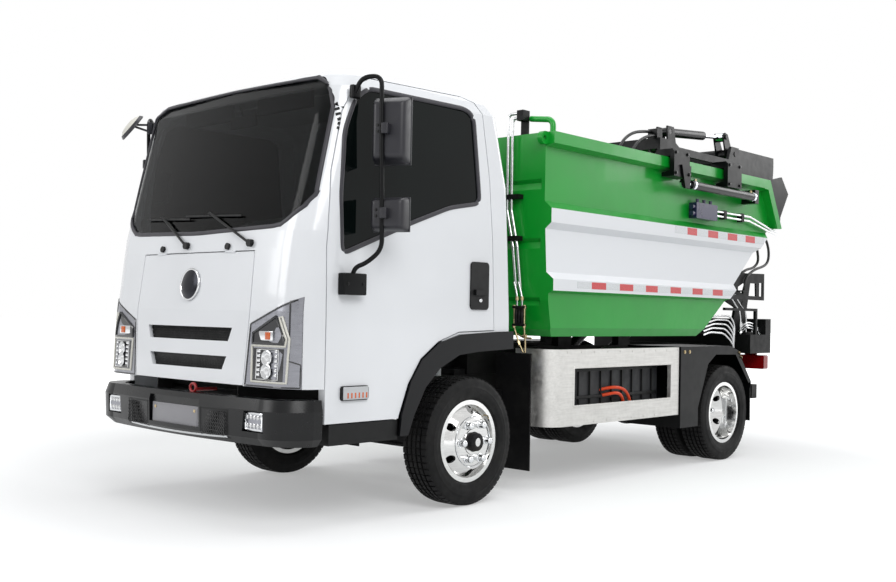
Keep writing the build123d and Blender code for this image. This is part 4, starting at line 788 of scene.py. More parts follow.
def treadPitch():
    # blocks of one pitch: two shoulder blocks and three ribs with a slanted slit between them
    span = 2 * math.pi * tyre["radius"] / tyre["pitches"]
    low, high = tyre["radius"] - tyre["groove"] - 0.002, tyre["radius"]
    bm = bmesh.new()
    bands = ((0.0585, 0.0895, 0.0, 0.80), (0.0245, 0.0465, 0.18, 0.86), (-0.0105, 0.0105, -0.18, 0.9))
    for near, far, slant, share in bands + tuple((-b, -a, -s, f) for a, b, s, f in bands[:2]):
        shoulder = max(abs(near), abs(far)) > 0.08
        ends = [(x, sign * span * share / 2 + slant * (x - (near + far) / 2))
                for x, sign in ((near, -1), (far, -1), (far, 1), (near, 1))]
        base = [treadCorner(bm, x, along, low, shoulder) for x, along in ends]
        crown = [treadCorner(bm, x * 0.998, along * 0.96, high, shoulder) for x, along in ends]
        bm.faces.new(crown)
        bm.faces.new(base[::-1])
        for i in range(4):
            bm.faces.new((base[i], base[(i + 1) % 4], crown[(i + 1) % 4], crown[i]))
    bmesh.ops.recalc_face_normals(bm, faces=bm.faces)
    mesh = bpy.data.meshes.new("treadPitch")
    bm.to_mesh(mesh)
    bm.free()
    return mesh


def tyreMesh():
    bm = bmesh.new()
    profile = [(r, x) for x, r in carcassProfile()]
    addLathe(bm, profile + [profile[0]], Vector(), across, 128)
    bmesh.ops.remove_doubles(bm, verts=bm.verts, dist=1e-6)
    bmesh.ops.recalc_face_normals(bm, faces=bm.faces)
    blocks = grown(ringing, treadPitch(), "tyre", Copies=tyre["pitches"])
    bm.from_mesh(blocks)
    bpy.data.meshes.remove(blocks)
    mesh = bpy.data.meshes.new("tyreMesh")
    bm.to_mesh(mesh)
    bm.free()
    return mesh


def wheelCentres():
    # body, replaced node and the centres of the tyres that turn with it
    places = []
    for side, sign in sides.items():
        front, outer, inner = [mirrored(wheels[key], sign) for key in ("front", "outer", "inner")]
        places.append(("front_wheel_" + side, "front_tyre_" + side, [front]))
        places.append(("rear_wheels_" + side, "rear_tyres_" + side, [outer, inner]))
    return places


plainTyre = tyreMesh()
for body, node, centres in wheelCentres():
    bm = bmesh.new()
    for centre in centres:
        copy = plainTyre.copy()
        copy.transform(Matrix.Translation(centre))
        bm.from_mesh(copy)
        bpy.data.meshes.remove(copy)
    mesh = bpy.data.meshes.new("treaded_" + node)
    bm.to_mesh(mesh)
    bm.free()
    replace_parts(placePiece("treaded_" + node, mesh, "tyre", body, 40), node)
print("stage: tyres made")

# ---- wheel trim: sleeve nuts, a dark hub cap and the valve; faceX is the disc's face, out from the tyre's middle
trim = {"circle": 0.111, "nuts": 6, "sleeve": 0.0205, "tall": 0.046, "hub": 0.052, "ring": 0.148, "bead": 0.003}


def wheelTrim(name, body, sign, centre, faceX, hubTall):
    out = across * sign
    face = centre + out * faceX
    bm = bmesh.new()
    tall, radius, bead = trim["tall"], trim["sleeve"], trim["bead"]
    nut = [(0, -0.002), (radius * 1.25, -0.002), (radius * 1.25, 0.004), (radius, 0.007), (radius, tall * 0.72),
           (radius * 0.86, tall * 0.9), (radius * 0.5, tall), (0, tall)]
    for k in range(trim["nuts"]):
        t = 2 * math.pi * (k + 0.5) / trim["nuts"]
        addLathe(bm, nut, face + Vector((0, math.sin(t), math.cos(t))) * trim["circle"], out, 20)
    turns = [2 * math.pi * k / 8 for k in range(9)]
    addLathe(bm, [(trim["ring"] + bead * math.cos(t), bead * math.sin(t) - 0.001) for t in turns], face, out, 64)
    finishPiece(bm, "sleeveNuts_" + name, "chrome", body, 40)
    bm = bmesh.new()
    hub = trim["hub"]
    addLathe(bm, [(0, -0.004), (0.077, -0.004), (0.077, 0.001), (0.066, 0.002), (hub * 1.08, 0.006),
                  (hub, hubTall * 0.85), (hub * 0.82, hubTall), (hub * 0.5, hubTall + 0.002),
                  (hub * 0.46, hubTall - 0.004), (0, hubTall - 0.004)], face, out, 36)
    finishPiece(bm, "hubCap_" + name, "castMetal", body, 40)
    bm = bmesh.new()
    start = face + Vector((-0.03 * sign, 0.125, 0.145))
    stem = [start, start + out * 0.03, start + out * 0.05 + Vector((0, -0.015, -0.015))]
    addTube(bm, roundedRoute(stem, 0.01), 0.004, 8)
    finishPiece(bm, "valveStem_" + name, "zincMetal", body, 40)


for side, sign in sides.items():
    wheelTrim("front_" + side, "front_wheel_" + side, sign, mirrored(wheels["front"], sign), 0.1175, 0.040)
    wheelTrim("rear_" + side, "rear_wheels_" + side, sign, mirrored(wheels["outer"], sign), -0.1055, 0.042)
print("stage: wheel trim made")


# ---- mirrors: dark moulded heads, a silvered glass behind a rim, and a bent tube arm
mirror = {
    "tube": 0.012, "rim": 0.012, "taper": 0.80, "turn": 25, "pivot": (1.097, -0.872, 0),
    "arm": [(0.946, -0.985, 2.250), (1.000, -0.985, 2.330), (1.100, -0.940, 2.330), (1.100, -0.915, 1.440),
            (1.050, -0.975, 1.368), (0.985, -0.990, 1.350), (0.960, -0.990, 1.300)],
    "heads": [(1.880, 2.235), (1.535, 1.715)], "across": (1.000, 1.205), "deep": (-0.920, -0.828),
    "feet": [((0.930, -1.060, 1.205), (0.985, -0.905, 1.318)), ((0.930, -1.010, 2.225), (0.960, -0.950, 2.295))],
    # the clamp that holds each head to the arm, about the head's middle height, and its two bolts
    "clamp": ((1.082, -0.962, -0.028), (1.118, -0.905, 0.028)), "bolts": (-0.016, 0.016),
    "footBolts": (-1.035, -0.930), "footHeight": 1.262,
}


def cornersOf(sign, low, high):
    xs = sorted((low[0] * sign, high[0] * sign))
    return at(xs[0], low[1], low[2]), at(xs[1], high[1], high[2])


def taperForward(verts, rear, front, share):
    # the housing narrows towards its front
    middleX = sum(v.co.x for v in verts) / len(verts)
    middleZ = sum(v.co.z for v in verts) / len(verts)
    for vertex in verts:
        forward = min(1.0, max(0.0, (vertex.co.y - rear) / (front - rear)))
        scale = 1 - (1 - share) * forward ** 1.7
        vertex.co.x = middleX + (vertex.co.x - middleX) * scale
        vertex.co.z = middleZ + (vertex.co.z - middleZ) * scale


def turnHeads(mesh, sign):
    # the heads look in towards the driver
    pivot = mirrored(mirror["pivot"], sign)
    turn = Matrix.Rotation(math.radians(mirror["turn"]) * sign, 4, "Z")
    for vertex in mesh.verts:
        vertex.co = turn @ (vertex.co - pivot) + pivot


def mirrorHead(shell, glass, sign, bottom, top):
    # a housing with a raised rim round the glass, and the clamp behind it, as (lowest, highest) corners
    (near, far), (front, rear), rim = mirror["across"], mirror["deep"], mirror["rim"]
    low, high = cornersOf(sign, (near, front, bottom), (far, rear, top))
    before = set(shell.verts)
    addBlock(shell, low, high - Vector((0, 0.004, 0)), 0.026, 6)
    taperForward([v for v in shell.verts if v not in before], high.y, low.y, mirror["taper"])
    for start, end in ((low.x, low.x + rim), (high.x - rim, high.x)):
        addBlock(shell, (start, high.y - 0.014, low.z), (end, high.y, high.z), 0.005, 3)
    for start, end in ((low.z, low.z + rim), (high.z - rim, high.z)):
        addBlock(shell, (low.x, high.y - 0.014, start), (high.x, high.y, end), 0.005, 3)
    edge = rim * 0.8
    addBlock(glass, (low.x + edge, high.y - 0.010, low.z + edge), (high.x - edge, high.y - 0.002, high.z - edge),
             0.002, 2)
    lift = Vector((0, 0, (bottom + top) / 2))
    clampLow, clampHigh = [corner + lift for corner in cornersOf(sign, *mirror["clamp"])]
    addBlock(shell, clampLow, clampHigh, 0.006, 3)
    return clampLow, clampHigh


def sideMirror(side, sign):
    body = "door_" + side
    arm = bmesh.new()
    route = roundedRoute([mirrored(point, sign) for point in mirror["arm"]], 0.05, 8)
    addTube(arm, resample(route, 0.012), mirror["tube"], 16)
    for low, high in mirror["feet"]:
        addBlock(arm, *cornersOf(sign, low, high), 0.008, 3)
    armPiece = finishPiece(arm, "mirrorArm_" + side, "blackPaint", body, 40)
    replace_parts(armPiece, "mirror_" + side)
    shell, glass = bmesh.new(), bmesh.new()
    bolts = []
    for bottom, top in mirror["heads"]:
        low, high = mirrorHead(shell, glass, sign, bottom, top)
        bolts += [(Vector(((low.x + high.x) / 2, low.y, (bottom + top) / 2 + lift)), -rearward)
                  for lift in mirror["bolts"]]
    turnHeads(shell, sign)
    turnHeads(glass, sign)
    finishPiece(shell, "mirrorHeads_" + side, "mirrorShell", body, 40)
    finishPiece(glass, "mirrorGlass_" + side, "mirrorGlass", body, 40)
    outerX = mirror["feet"][0][1][0] * sign
    bolts += [(at(outerX, station, mirror["footHeight"]), across * sign) for station in mirror["footBolts"]]
    boltHeads("mirrorBolts_" + side, bolts, body, "plastic", radius=0.006, height=0.004, washer=0.009)


for side, sign in sides.items():
    sideMirror(side, sign)


# round wide-angle mirror over the kerb-side door: its centre, its two arms' heights and its turned forms
kerb = {
    "centre": (-1.062, -1.082, 2.272), "back": (-0.3, -0.75, 0.6), "arms": (2.284, 2.240),
    "rim": [(0.084, 0.010), (0.088, 0.012), (0.098, -0.002), (0.098, -0.010), (0.091, -0.012), (0.089, -0.007),
            (0.084, 0.010)],
    "dome": [(0, 0.034), (0.034, 0.033), (0.062, 0.026), (0.088, 0.010), (0.088, -0.006), (0, -0.006)],
    "glass": [(0, -0.017), (0.030, -0.0165), (0.060, -0.014), (0.089, -0.009), (0.089, -0.006), (0, -0.006)],
}


def kerbMirror():
    centre, back = at(*kerb["centre"]), Vector(kerb["back"]).normalized()
    bm = bmesh.new()
    addLathe(bm, kerb["rim"], centre, back, 40)
    for z in kerb["arms"]:
        inner = at(-0.948, -1.022, z)
        bend = centre.lerp(inner, 0.5) + Vector((0, -0.008, 0.006))
        addTube(bm, roundedRoute([centre + back * 0.028, bend, inner], 0.03), 0.007, 10)
    addBlock(bm, at(-0.956, -1.040, 2.225), at(-0.938, -1.004, 2.300), 0.004, 2)
    shell = finishPiece(bm, "kerbMirrorArms", "mirrorShell", "door_right", 40)
    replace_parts(shell, "front_mirror")
    for name, form, material, slot in (("kerbMirrorDome", "dome", "lampTrim", "mirror_plastic"),
                                       ("kerbMirrorGlass", "glass", "mirrorGlass", "lamp_glass")):
        bm = bmesh.new()
        addLathe(bm, kerb[form], centre, back, 40)
        finishPiece(bm, name, material, "door_right", 40)


kerbMirror()
print("stage: mirrors made")

# ---- reflective film on the hopper's ridges: white runs with red lengths, stations and heights
film = {
    "thick": 0.0012, "upper": (1.746, 1.799), "lower": (1.299, 1.344), "upperRun": (2.197, 3.621),
    "lowerRun": (0.958, 3.102), "upperRed": ((2.375, 2.517), (2.685, 2.841), (2.995, 3.153), (3.293, 3.456)),
    "lowerRed": ((1.118, 1.285), (1.449, 1.615), (1.777, 1.933), (2.107, 2.255), (2.421, 2.572), (2.727, 2.884)),
}
hopperSkin = skin("hopper_shell")


def filmRun(bm, sign, start, end, heights):
    # five columns of three points, each with its face above the skin and its back just under it
    low, high = heights
    columns = []
    for station in [start + (end - start) * k / 4 for k in range(5)]:
        column = []
        for z in (low, (low + high) / 2, high):
            place, normal = lay(hopperSkin, at(sign * 1.3, station, z), -across * sign)
            column.append((bm.verts.new(place + normal * film["thick"]), bm.verts.new(place - normal * 0.001)))
        columns.append(column)
    for near, far in zip(columns, columns[1:]):
        for k in range(2):
            for layer in (0, 1):
                bm.faces.new((near[k][layer], far[k][layer], far[k + 1][layer], near[k + 1][layer]))
        for k in (0, 2):
            bm.faces.new((near[k][0], far[k][0], far[k][1], near[k][1]))
    for column in (columns[0], columns[-1]):
        for k in range(2):
            bm.faces.new((column[k][0], column[k + 1][0], column[k + 1][1], column[k][1]))


for side, sign in sides.items():
    whites, reds = bmesh.new(), bmesh.new()
    for row in ("upper", "lower"):
        edges = [value for run in film[row + "Red"] for value in run]
        spans = [film[row + "Run"][0]] + edges + [film[row + "Run"][1]]
        for k in range(len(spans) - 1):
            filmRun(reds if k % 2 else whites, sign, spans[k], spans[k + 1], film[row])
    finishPiece(whites, "filmWhite_" + side, "whiteFilm", "hopper", 30)
    finishPiece(reds, "filmRed_" + side, "redFilm", "hopper", 30)
print("stage: reflective film laid")

# ---- bumper: mesh panels beside a blank plate, a bright lower strip and the red towing eye
plate = {"middle": 0.527, "outer": (0.225, 0.070), "inner": (0.214, 0.059), "screws": (0.19, 0.045)}
panel = {"near": 0.258, "far": 0.478, "low": 0.455, "high": 0.598, "middle": 0.368, "overlap": 0.006}
bumperSkin = skin("bumper")


def bumperStrip(name, runs, section, material):
    bm = bmesh.new()
    for route in runs:
        points = resample([Vector((x, z, 0)) for x, z in route], 0.02)
        hits = [lay(bumperSkin, at(point.x, -1.75, point.y), rearward) for point in points]
        addStrip(bm, *zip(*hits), section)
    finishPiece(bm, name, material, "chassis", 40)


def bumperFace():
    bumperStrip("bumperBrightStrip", [[(-0.47, 0.425), (0.47, 0.425)]],
                ((-0.009, -0.004), (-0.007, 0.001), (0.0, 0.002), (0.007, 0.001), (0.009, -0.004)),
                "chrome")
    near, far, low, high, lap = (panel[key] for key in ("near", "far", "low", "high", "overlap"))
    frames = []
    for sign in (1, -1):
        frames += [[(sign * x, low), (sign * x, high)] for x in (near, far)]
        frames += [[(sign * (near - lap), z), (sign * (far + lap), z)] for z in (high, low)]
    bumperStrip("bumperMeshFrames", frames, ((-0.006, -0.003), (-0.004, 0.0012), (0.004, 0.0012), (0.006, -0.003)),
                "plastic")
    for side, sign in sides.items():
        place, normal = lay(bumperSkin, at(sign * panel["middle"], -1.75, plate["middle"]), rearward)
        netPanel("bumperNet_" + side, 0.21, 0.135, place + normal * 0.003, 0.0, 0.0, "chassis", 0.020, "bumperPlastic")
    bm = bmesh.new()
    place = lay(bumperSkin, at(0.0, -1.75, plate["middle"]), rearward)[0]
    for (wide, tall), front, back, bevel, steps in ((plate["outer"], 0.006, 0.003, 0.004, 3),
                                                    (plate["inner"], 0.0085, -0.004, 0.002, 2)):
        addBlock(bm, place + Vector((-wide, -front, -tall)), place + Vector((wide, back, tall)), bevel, steps)
    finishPiece(bm, "blankPlate", "plateEnamel", "chassis", 40)
    wide, tall = plate["screws"]
    corners = [place + Vector((x, -0.0085, z)) for x in (-wide, wide) for z in (-tall, tall)]
    boltHeads("plateScrews", [(corner, -rearward) for corner in corners], "chassis", radius=0.006, height=0.003,
              washer=0.009)


def towEye():
    bm = bmesh.new()
    centre = at(0.095, -1.352, 0.690)
    turns = [2 * math.pi * k / 24 for k in range(24)]
    addTube(bm, [centre + Vector((0.026 * math.cos(t), 0, 0.022 * math.sin(t))) for t in turns], 0.008, 10, True)
    addTube(bm, [centre + Vector((0, 0.02, -0.010)), centre + Vector((0, 0.15, -0.010))], 0.010, 12)
    finishPiece(bm, "towingEye", "redPaint", "chassis", 40)


bumperFace()
towEye()
print("stage: bumper trim made")

# ---- side guards: rivets along the edges, a trim round the window, and the battery ribs behind it
guard = {
    "x": 0.930, "run": (0.912, 2.318), "height": (0.401, 0.901), "window": (1.000, 2.214), "sill": (0.527, 0.782),
    "inset": 0.018, "rivets": 10, "ribs": 9, "firstRib": 1.06, "ribPitch": 0.13, "bars": (0.560, 0.745),
}


def sideGuard(side, sign):
    rivets = []
    inset, count = guard["inset"], guard["rivets"]
    first, last = guard["run"][0] + inset, guard["run"][1] - inset
    for k in range(count):
        station = first + (last - first) * k / (count - 1)
        rivets.append((at(sign * guard["x"], station, guard["height"][1] - inset), across * sign))
        if 1 < k < count - 2:
            rivets.append((at(sign * guard["x"], station, guard["height"][0] + inset), across * sign))
    boltHeads("guardRivets_" + side, rivets, "chassis", "guardMetal", 0.0055, 0.0025, 12, 0.0075)
    bm = bmesh.new()
    (front, rear), (low, high) = guard["window"], guard["sill"]
    loop = [Vector((y, z, 0)) for y, z in ((front, low), (rear, low), (rear, high), (front, high))]
    route = resample(roundedRoute(loop, 0.012, 4, True), 0.04, True)
    points = [at(sign * (guard["x"] + 0.0005), point.x, point.y) for point in route]
    section = ((-0.008, -0.001), (-0.006, 0.002), (0.0, 0.003), (0.006, 0.002), (0.008, -0.001))
    addStrip(bm, points, [across * sign] * len(points), section, True)
    finishPiece(bm, "guardWindowTrim_" + side, "guardMetal", "chassis", 40)
    bm = bmesh.new()
    for k in range(guard["ribs"]):
        station = guard["firstRib"] + k * guard["ribPitch"]
        addBlock(bm, *cornersOf(sign, (0.822, station, 0.520), (0.832, station + 0.012, 0.800)), 0.003, 2)
    for z in guard["bars"]:
        addBlock(bm, *cornersOf(sign, (0.822, 1.010, z), (0.833, 2.180, z + 0.022)), 0.003, 2)
    finishPiece(bm, "batteryRibs_" + side, "plastic", "chassis", 40)


for side, sign in sides.items():
    sideGuard(side, sign)
print("stage: side guards made")

# ---- bolts and studs on the fenders, trolleys, rests and steps
bolted = {
    "fender": ((2.385, 0.866), (2.455, 0.866), (3.255, 0.866), (3.325, 0.866)),
    "trolley": [(y, z) for pair in ((2.090, 2.250), (2.890, 3.055)) for z in (2.175, 2.325) for y in pair],
    "stepAcross": (0.70, 0.76, 0.82, 0.88), "stepAlong": (-1.02, -0.94, -0.86, -0.78, -0.70), "stepTop": 0.72,
}


def scatterBolts():
    for side, sign in sides.items():
        out = across * sign
        fenderSkin = skin("rear_fenders")
        places = [lay(fenderSkin, at(sign * 1.3, y, z), -out) for y, z in bolted["fender"]]
        boltHeads("fenderBolts_" + side, places, "chassis", radius=0.009, height=0.006, washer=0.014)
        trolleySkin = skin("packer_carriage")
        places = [lay(trolleySkin, at(sign * 1.3, y, z), -out) for y, z in bolted["trolley"]]
        boltHeads("trolleyBolts_" + side, places, "packer_carriage", "cylinderPaint", 0.012, 0.010, washer=0.017)
        stepSkin = skin("cab_steps")
        places = [lay(stepSkin, at(sign * x, y, bolted["stepTop"]), -upward)
                  for x in bolted["stepAcross"] for y in bolted["stepAlong"]]
        boltHeads("stepStuds_" + side, places, "chassis", "plastic", 0.011, 0.004, 12, 0.013)


scatterBolts()


# inner and outer edge of each lens; their heights and ribs are the same
tail = {"lenses": (("tailRed_", 0.530, 0.640, "redLens"), ("tailAmber_", 0.652, 0.715, "amberLens"),
                   ("tailWhite_", 0.727, 0.780, "clearLens")), "height": (0.704, 0.797), "middle": 0.750, "ribs": 5}


def tailLamps():
    tree = skin("rear_lamps")
    for side, sign in sides.items():
        for name, near, far, finish in tail["lenses"]:
            place = lay(tree, at(sign * (near + far) / 2, 4.30, tail["middle"]), -rearward)[0]
            low, high = cornersOf(sign, (near, 0, tail["height"][0]), (far, 0, tail["height"][1]))
            low.y, high.y = place.y - 0.003, place.y + 0.006
            bm = bmesh.new()
            addBlock(bm, low, high, 0.004, 3)
            for k in range(tail["ribs"]):
                z = low.z + (high.z - low.z) * (k + 0.5) / tail["ribs"]
                addBlock(bm, (low.x + 0.006, high.y - 0.001, z - 0.003), (high.x - 0.006, high.y + 0.0012, z + 0.003),
                         0.001, 2)
            finishPiece(bm, name + side, finish, "chassis", 40)


tailLamps()
print("stage: bolts and tail lamps made")


# ---- steel pipes, fittings and cables, as routes of (x, station, height)
def pipeRun(name, routes, radius, material, body, bend=0.03, both=False):
    for side, sign in sides.items() if both else [("left", 1)]:
        bm = bmesh.new()
        for route in routes:
            addTube(bm, roundedRoute([mirrored(point, sign) for point in route], bend, 6), radius, 12)
        finishPiece(bm, name + ("_" + side if both else ""), material, body, 45)


def fittings(name, places, material, body, radius=0.013, long=0.026):
    # hexagonal unions: place and the way that the pipe runs
    bm = bmesh.new()
    union = [(0, 0), (radius * 0.8, 0), (radius * 0.8, long * 0.2), (radius, long * 0.22), (radius, long * 0.62),
             (radius * 0.8, long * 0.64), (radius * 0.8, long), (0, long)]
    for place, way in places:
        way = Vector(way).normalized()
        addLathe(bm, union, at(*place) - way * long / 2, way, 6)
    finishPiece(bm, name, material, body, 30)


pipeRun("frontRisers", [[(0.735, 0.640, 1.160), (0.735, 0.640, 1.240), (0.700, 0.650, 1.330)],
                        [(0.775, 0.640, 1.160), (0.775, 0.640, 1.230), (0.735, 0.650, 1.330)]],
        0.007, "pipeMetal", "hopper")
pipeRun("frontDropPipes", [[(0.712, 0.640, 1.170), (0.712, 0.640, 1.040), (0.745, 0.640, 0.960), (0.790, 0.640, 0.880)],
                           [(0.795, 0.640, 1.170), (0.795, 0.640, 1.030), (0.805, 0.640, 0.960), (0.805, 0.640, 0.880)],
                           [(0.712, 0.648, 1.010), (0.780, 0.648, 0.975), (0.850, 0.648, 0.972)]],
        0.006, "zincMetal", "hopper")
uprightUnions = [(0.735, 1.225), (0.775, 1.225), (0.712, 1.170), (0.795, 1.170), (0.712, 1.050), (0.795, 1.050)]
places = [((x, 0.640, z), (0, 0, 1)) for x, z in uprightUnions]
places += [((0.800, 0.640, 0.985), (1, 0, 0)), ((0.755, 0.640, 0.940), (0.4, 0, -1))]
fittings("frontUnions", places, "zincMetal", "hopper")


# manifold of three spools between two plates, and the drain valve in front of it: turned forms and the valve's axis
manifold = {
    "spools": (0.728, 0.752, 0.776),
    "spool": [(0, 0), (0.010, 0), (0.010, 0.030), (0.012, 0.034), (0.012, 0.070), (0.010, 0.074), (0.010, 0.105),
              (0, 0.105)],
    "plates": ((1.160, 1.178), (1.048, 1.064)),
    "valve": (0.690, 0.640, 0.862), "way": (0.9, 0, -0.44),
    "flange": [(0, 0.055), (0.017, 0.055), (0.019, 0.062), (0.019, 0.080), (0, 0.080)],
    "collar": [(0, 0.078), (0.020, 0.078), (0.022, 0.084), (0.022, 0.108), (0.019, 0.112), (0, 0.112)],
    "cap": [(0, 0.110), (0.018, 0.110), (0.018, 0.130), (0.015, 0.146), (0.008, 0.156), (0, 0.158)],
}


def frontManifold():
    bm = bmesh.new()
    for x in manifold["spools"]:
        addLathe(bm, manifold["spool"], at(x, 0.640, 1.062), upward, 12)
    for low, high in manifold["plates"]:
        addBlock(bm, at(0.704, 0.626, low), at(0.804, 0.654, high), 0.003, 2)
    finishPiece(bm, "frontManifold", "castMetal", "hopper", 30)
    bm = bmesh.new()
    start, way = at(*manifold["valve"]), Vector(manifold["way"]).normalized()
    addTube(bm, [start, start + way * 0.07], 0.008, 12)
    addLathe(bm, manifold["flange"], start, way, 20)
    finishPiece(bm, "drainValveBody", "zincMetal", "chassis", 40)
    for name, form, material in (("drainValveCollar", "collar", "whitePlastic"),
                                 ("drainValveCap", "cap", "bluePlastic")):
        bm = bmesh.new()
        addLathe(bm, manifold[form], start, way, 24)
        finishPiece(bm, name, material, "chassis", 40)


frontManifold()
fan = [[(0.700, 3.080, 0.985 + 0.030 * k), (0.700, 3.200 + 0.030 * k, 1.010 + 0.034 * k),
        (0.700, 3.420 + 0.028 * k, 1.000 + 0.036 * k), (0.700, 3.560 + 0.012 * k, 0.930 + 0.036 * k),
        (0.700, 3.600, 0.880)] for k in range(5)]
pipeRun("rearPipeFan", fan, 0.0075, "pipeMetal", "chassis", 0.05)
drops = [[(0.700, 3.690 + 0.10 * k, 1.195), (0.700, 3.715 + 0.10 * k, 1.120), (0.700, 3.715 + 0.10 * k, 0.985)]
         for k in range(2)]
slants = [[(0.700, 3.500 + 0.09 * k, 1.335), (0.700, 3.640 + 0.09 * k, 1.225), (0.700, 3.690 + 0.10 * k, 1.195)]
          for k in range(2)]
pipeRun("rearDropPipes", drops + slants, 0.0065, "pipeMetal", "chassis")
loops = [[(0.700, 3.700, 1.000 + 0.024 * k), (0.715, 3.800, 1.052 + 0.022 * k), (0.730, 3.920, 1.030 + 0.024 * k),
          (0.735, 4.000, 0.960 + 0.02 * k)] for k in range(3)]
pipeRun("rearValvePipes", loops, 0.007, "pipeMetal", "chassis", 0.05)
places = [((0.705, 3.700, 1.010), (0, 1, 0.5)), ((0.712, 3.790, 1.052), (0, 1, 0.2)),
          ((0.722, 3.900, 1.045), (0, 1, -0.2)), ((0.735, 3.985, 0.985), (0, 1, -1)),
          ((0.700, 3.715, 1.075), (0, 0, 1)), ((0.700, 3.815, 1.075), (0, 0, 1)),
          ((0.725, 3.860, 1.000), (0, 0.2, 1)), ((0.728, 3.950, 1.030), (0, 0.4, 1))]
fittings("rearUnions", places, "lampReflector", "chassis", 0.018, 0.044)
bm = bmesh.new()
addBlock(bm, at(0.700, 3.735, 0.955), at(0.745, 3.965, 1.010), 0.006, 3)
finishPiece(bm, "rearValveBlock", "castMetal", "chassis", 30)

cables = [[(0.780, 1.430, 0.600), (0.870, 1.500, 0.632), (0.880, 1.620, 0.628), (0.870, 1.720, 0.590),
           (0.850, 1.800, 0.500)],
          [(0.780, 1.440, 0.560), (0.868, 1.510, 0.588), (0.878, 1.600, 0.592), (0.868, 1.670, 0.550),
           (0.850, 1.700, 0.480)]]
pipeRun("orangeCable", cables, 0.011, "orangeSleeve", "chassis", 0.06, True)
print("stage: pipes and cables made")


# ---- cylinder ends: a gland at each end of both side cylinders, and a zinc union at each port
def cylinderTrim():
    for side, sign in sides.items():
        bm = bmesh.new()
        for station in (2.352, 3.300):
            centre = mirrored((1.000, station, 2.112), sign)
            addLathe(bm, [(0.0325, 0), (0.037, 0.002), (0.037, 0.020), (0.0325, 0.022)], centre, rearward, 32)
        finishPiece(bm, "sideGlands_" + side, "rodMetal", "hopper", 30)
    spots = [((1.000, 2.400, 2.150), (0, 0, 1)), ((1.000, 3.280, 2.150), (0, 0, 1))]
    fittings("sideUnions", spots, "zincMetal", "hopper", 0.012, 0.022)


cylinderTrim()

# ---- driver's cab: interior mirror, sun visors, grab handle, dial hood, middle panel and air vents
interior = {
    "mirror": (0.02, -1.000, 2.200), "visors": ((-0.60, -0.12), (0.12, 0.60)), "dials": (0.345, 0.495),
    "handle": [(-0.80, -1.02, 1.98), (-0.78, -0.96, 1.96), (-0.78, -0.98, 1.78), (-0.80, -1.06, 1.76)],
    "dial": [(0, 0), (0.048, 0), (0.052, 0.004), (0.046, 0.006), (0.044, 0.002), (0, 0.002)],
    "vents": (-0.62, -0.30, 0.66), "blades": 5, "bladePitch": 0.012,
}


def cabInterior():
    x, y, z = interior["mirror"]
    bm = bmesh.new()
    addBlock(bm, at(x - 0.115, y - 0.012, z - 0.034), at(x + 0.115, y + 0.012, z + 0.034), 0.010, 4)
    addTube(bm, [at(x, y, z + 0.02), at(x, y - 0.03, z + 0.09)], 0.007, 10)
    for near, far in interior["visors"]:
        addBlock(bm, at(near, -0.985, 2.225), at(far, -0.960, 2.330), 0.010, 3)
    addTube(bm, roundedRoute([at(*point) for point in interior["handle"]], 0.03, 6), 0.012, 12)
    finishPiece(bm, "cabFittings", "greyPlastic", "chassis", 40)
    bm = bmesh.new()
    addBlock(bm, at(0.26, -0.985, 1.385), at(0.58, -0.86, 1.425), 0.014, 4)
    for x in interior["dials"]:
        addLathe(bm, interior["dial"], at(x, -0.850, 1.375), rearward, 32)
    addBlock(bm, at(-0.14, -0.880, 1.245), at(0.14, -0.855, 1.375), 0.006, 3)
    for x in interior["vents"]:
        for k in range(interior["blades"]):
            lift = k * interior["bladePitch"]
            addBlock(bm, at(x - 0.05, -0.872, 1.300 + lift), at(x + 0.05, -0.858, 1.305 + lift), 0.0015, 2)
    finishPiece(bm, "dashFittings", "plastic", "chassis", 40)


cabInterior()

# ---- seats: sewn cushions on a plain pan, swollen by cloth and seamed afterwards
seat = {
    "x": 0.42, "voxel": 0.006, "cap": 0.010, "pressure": 4.0, "steps": 20, "thread": 0.0022,
    "cushion": ((-0.222, -0.548, 1.052), (0.222, -0.075, 1.176)),
    "head": ((-0.112, 0.055, 1.772), (0.112, 0.126, 1.948)),
    # the backrest's half width, and the front and rear stations and the height of its foot and of its crown
    "half": 0.205, "foot": (-0.112, -0.004, 1.170), "crown": (0.042, 0.118, 1.765),
}


def leanedBack(bm):
    # a backrest that leans rearward and narrows a little above its middle
    half, foot, crown = seat["half"], seat["foot"], seat["crown"]
    addBlock(bm, at(-half, foot[0], foot[2]), at(half, foot[1], crown[2]), 0.030, 3)
    for vertex in bm.verts:
        share = (vertex.co.z - foot[2]) / (crown[2] - foot[2])
        vertex.co.y += share * (crown[0] - foot[0])
        vertex.co.x *= 1 - 0.12 * max(0.0, share - 0.5)


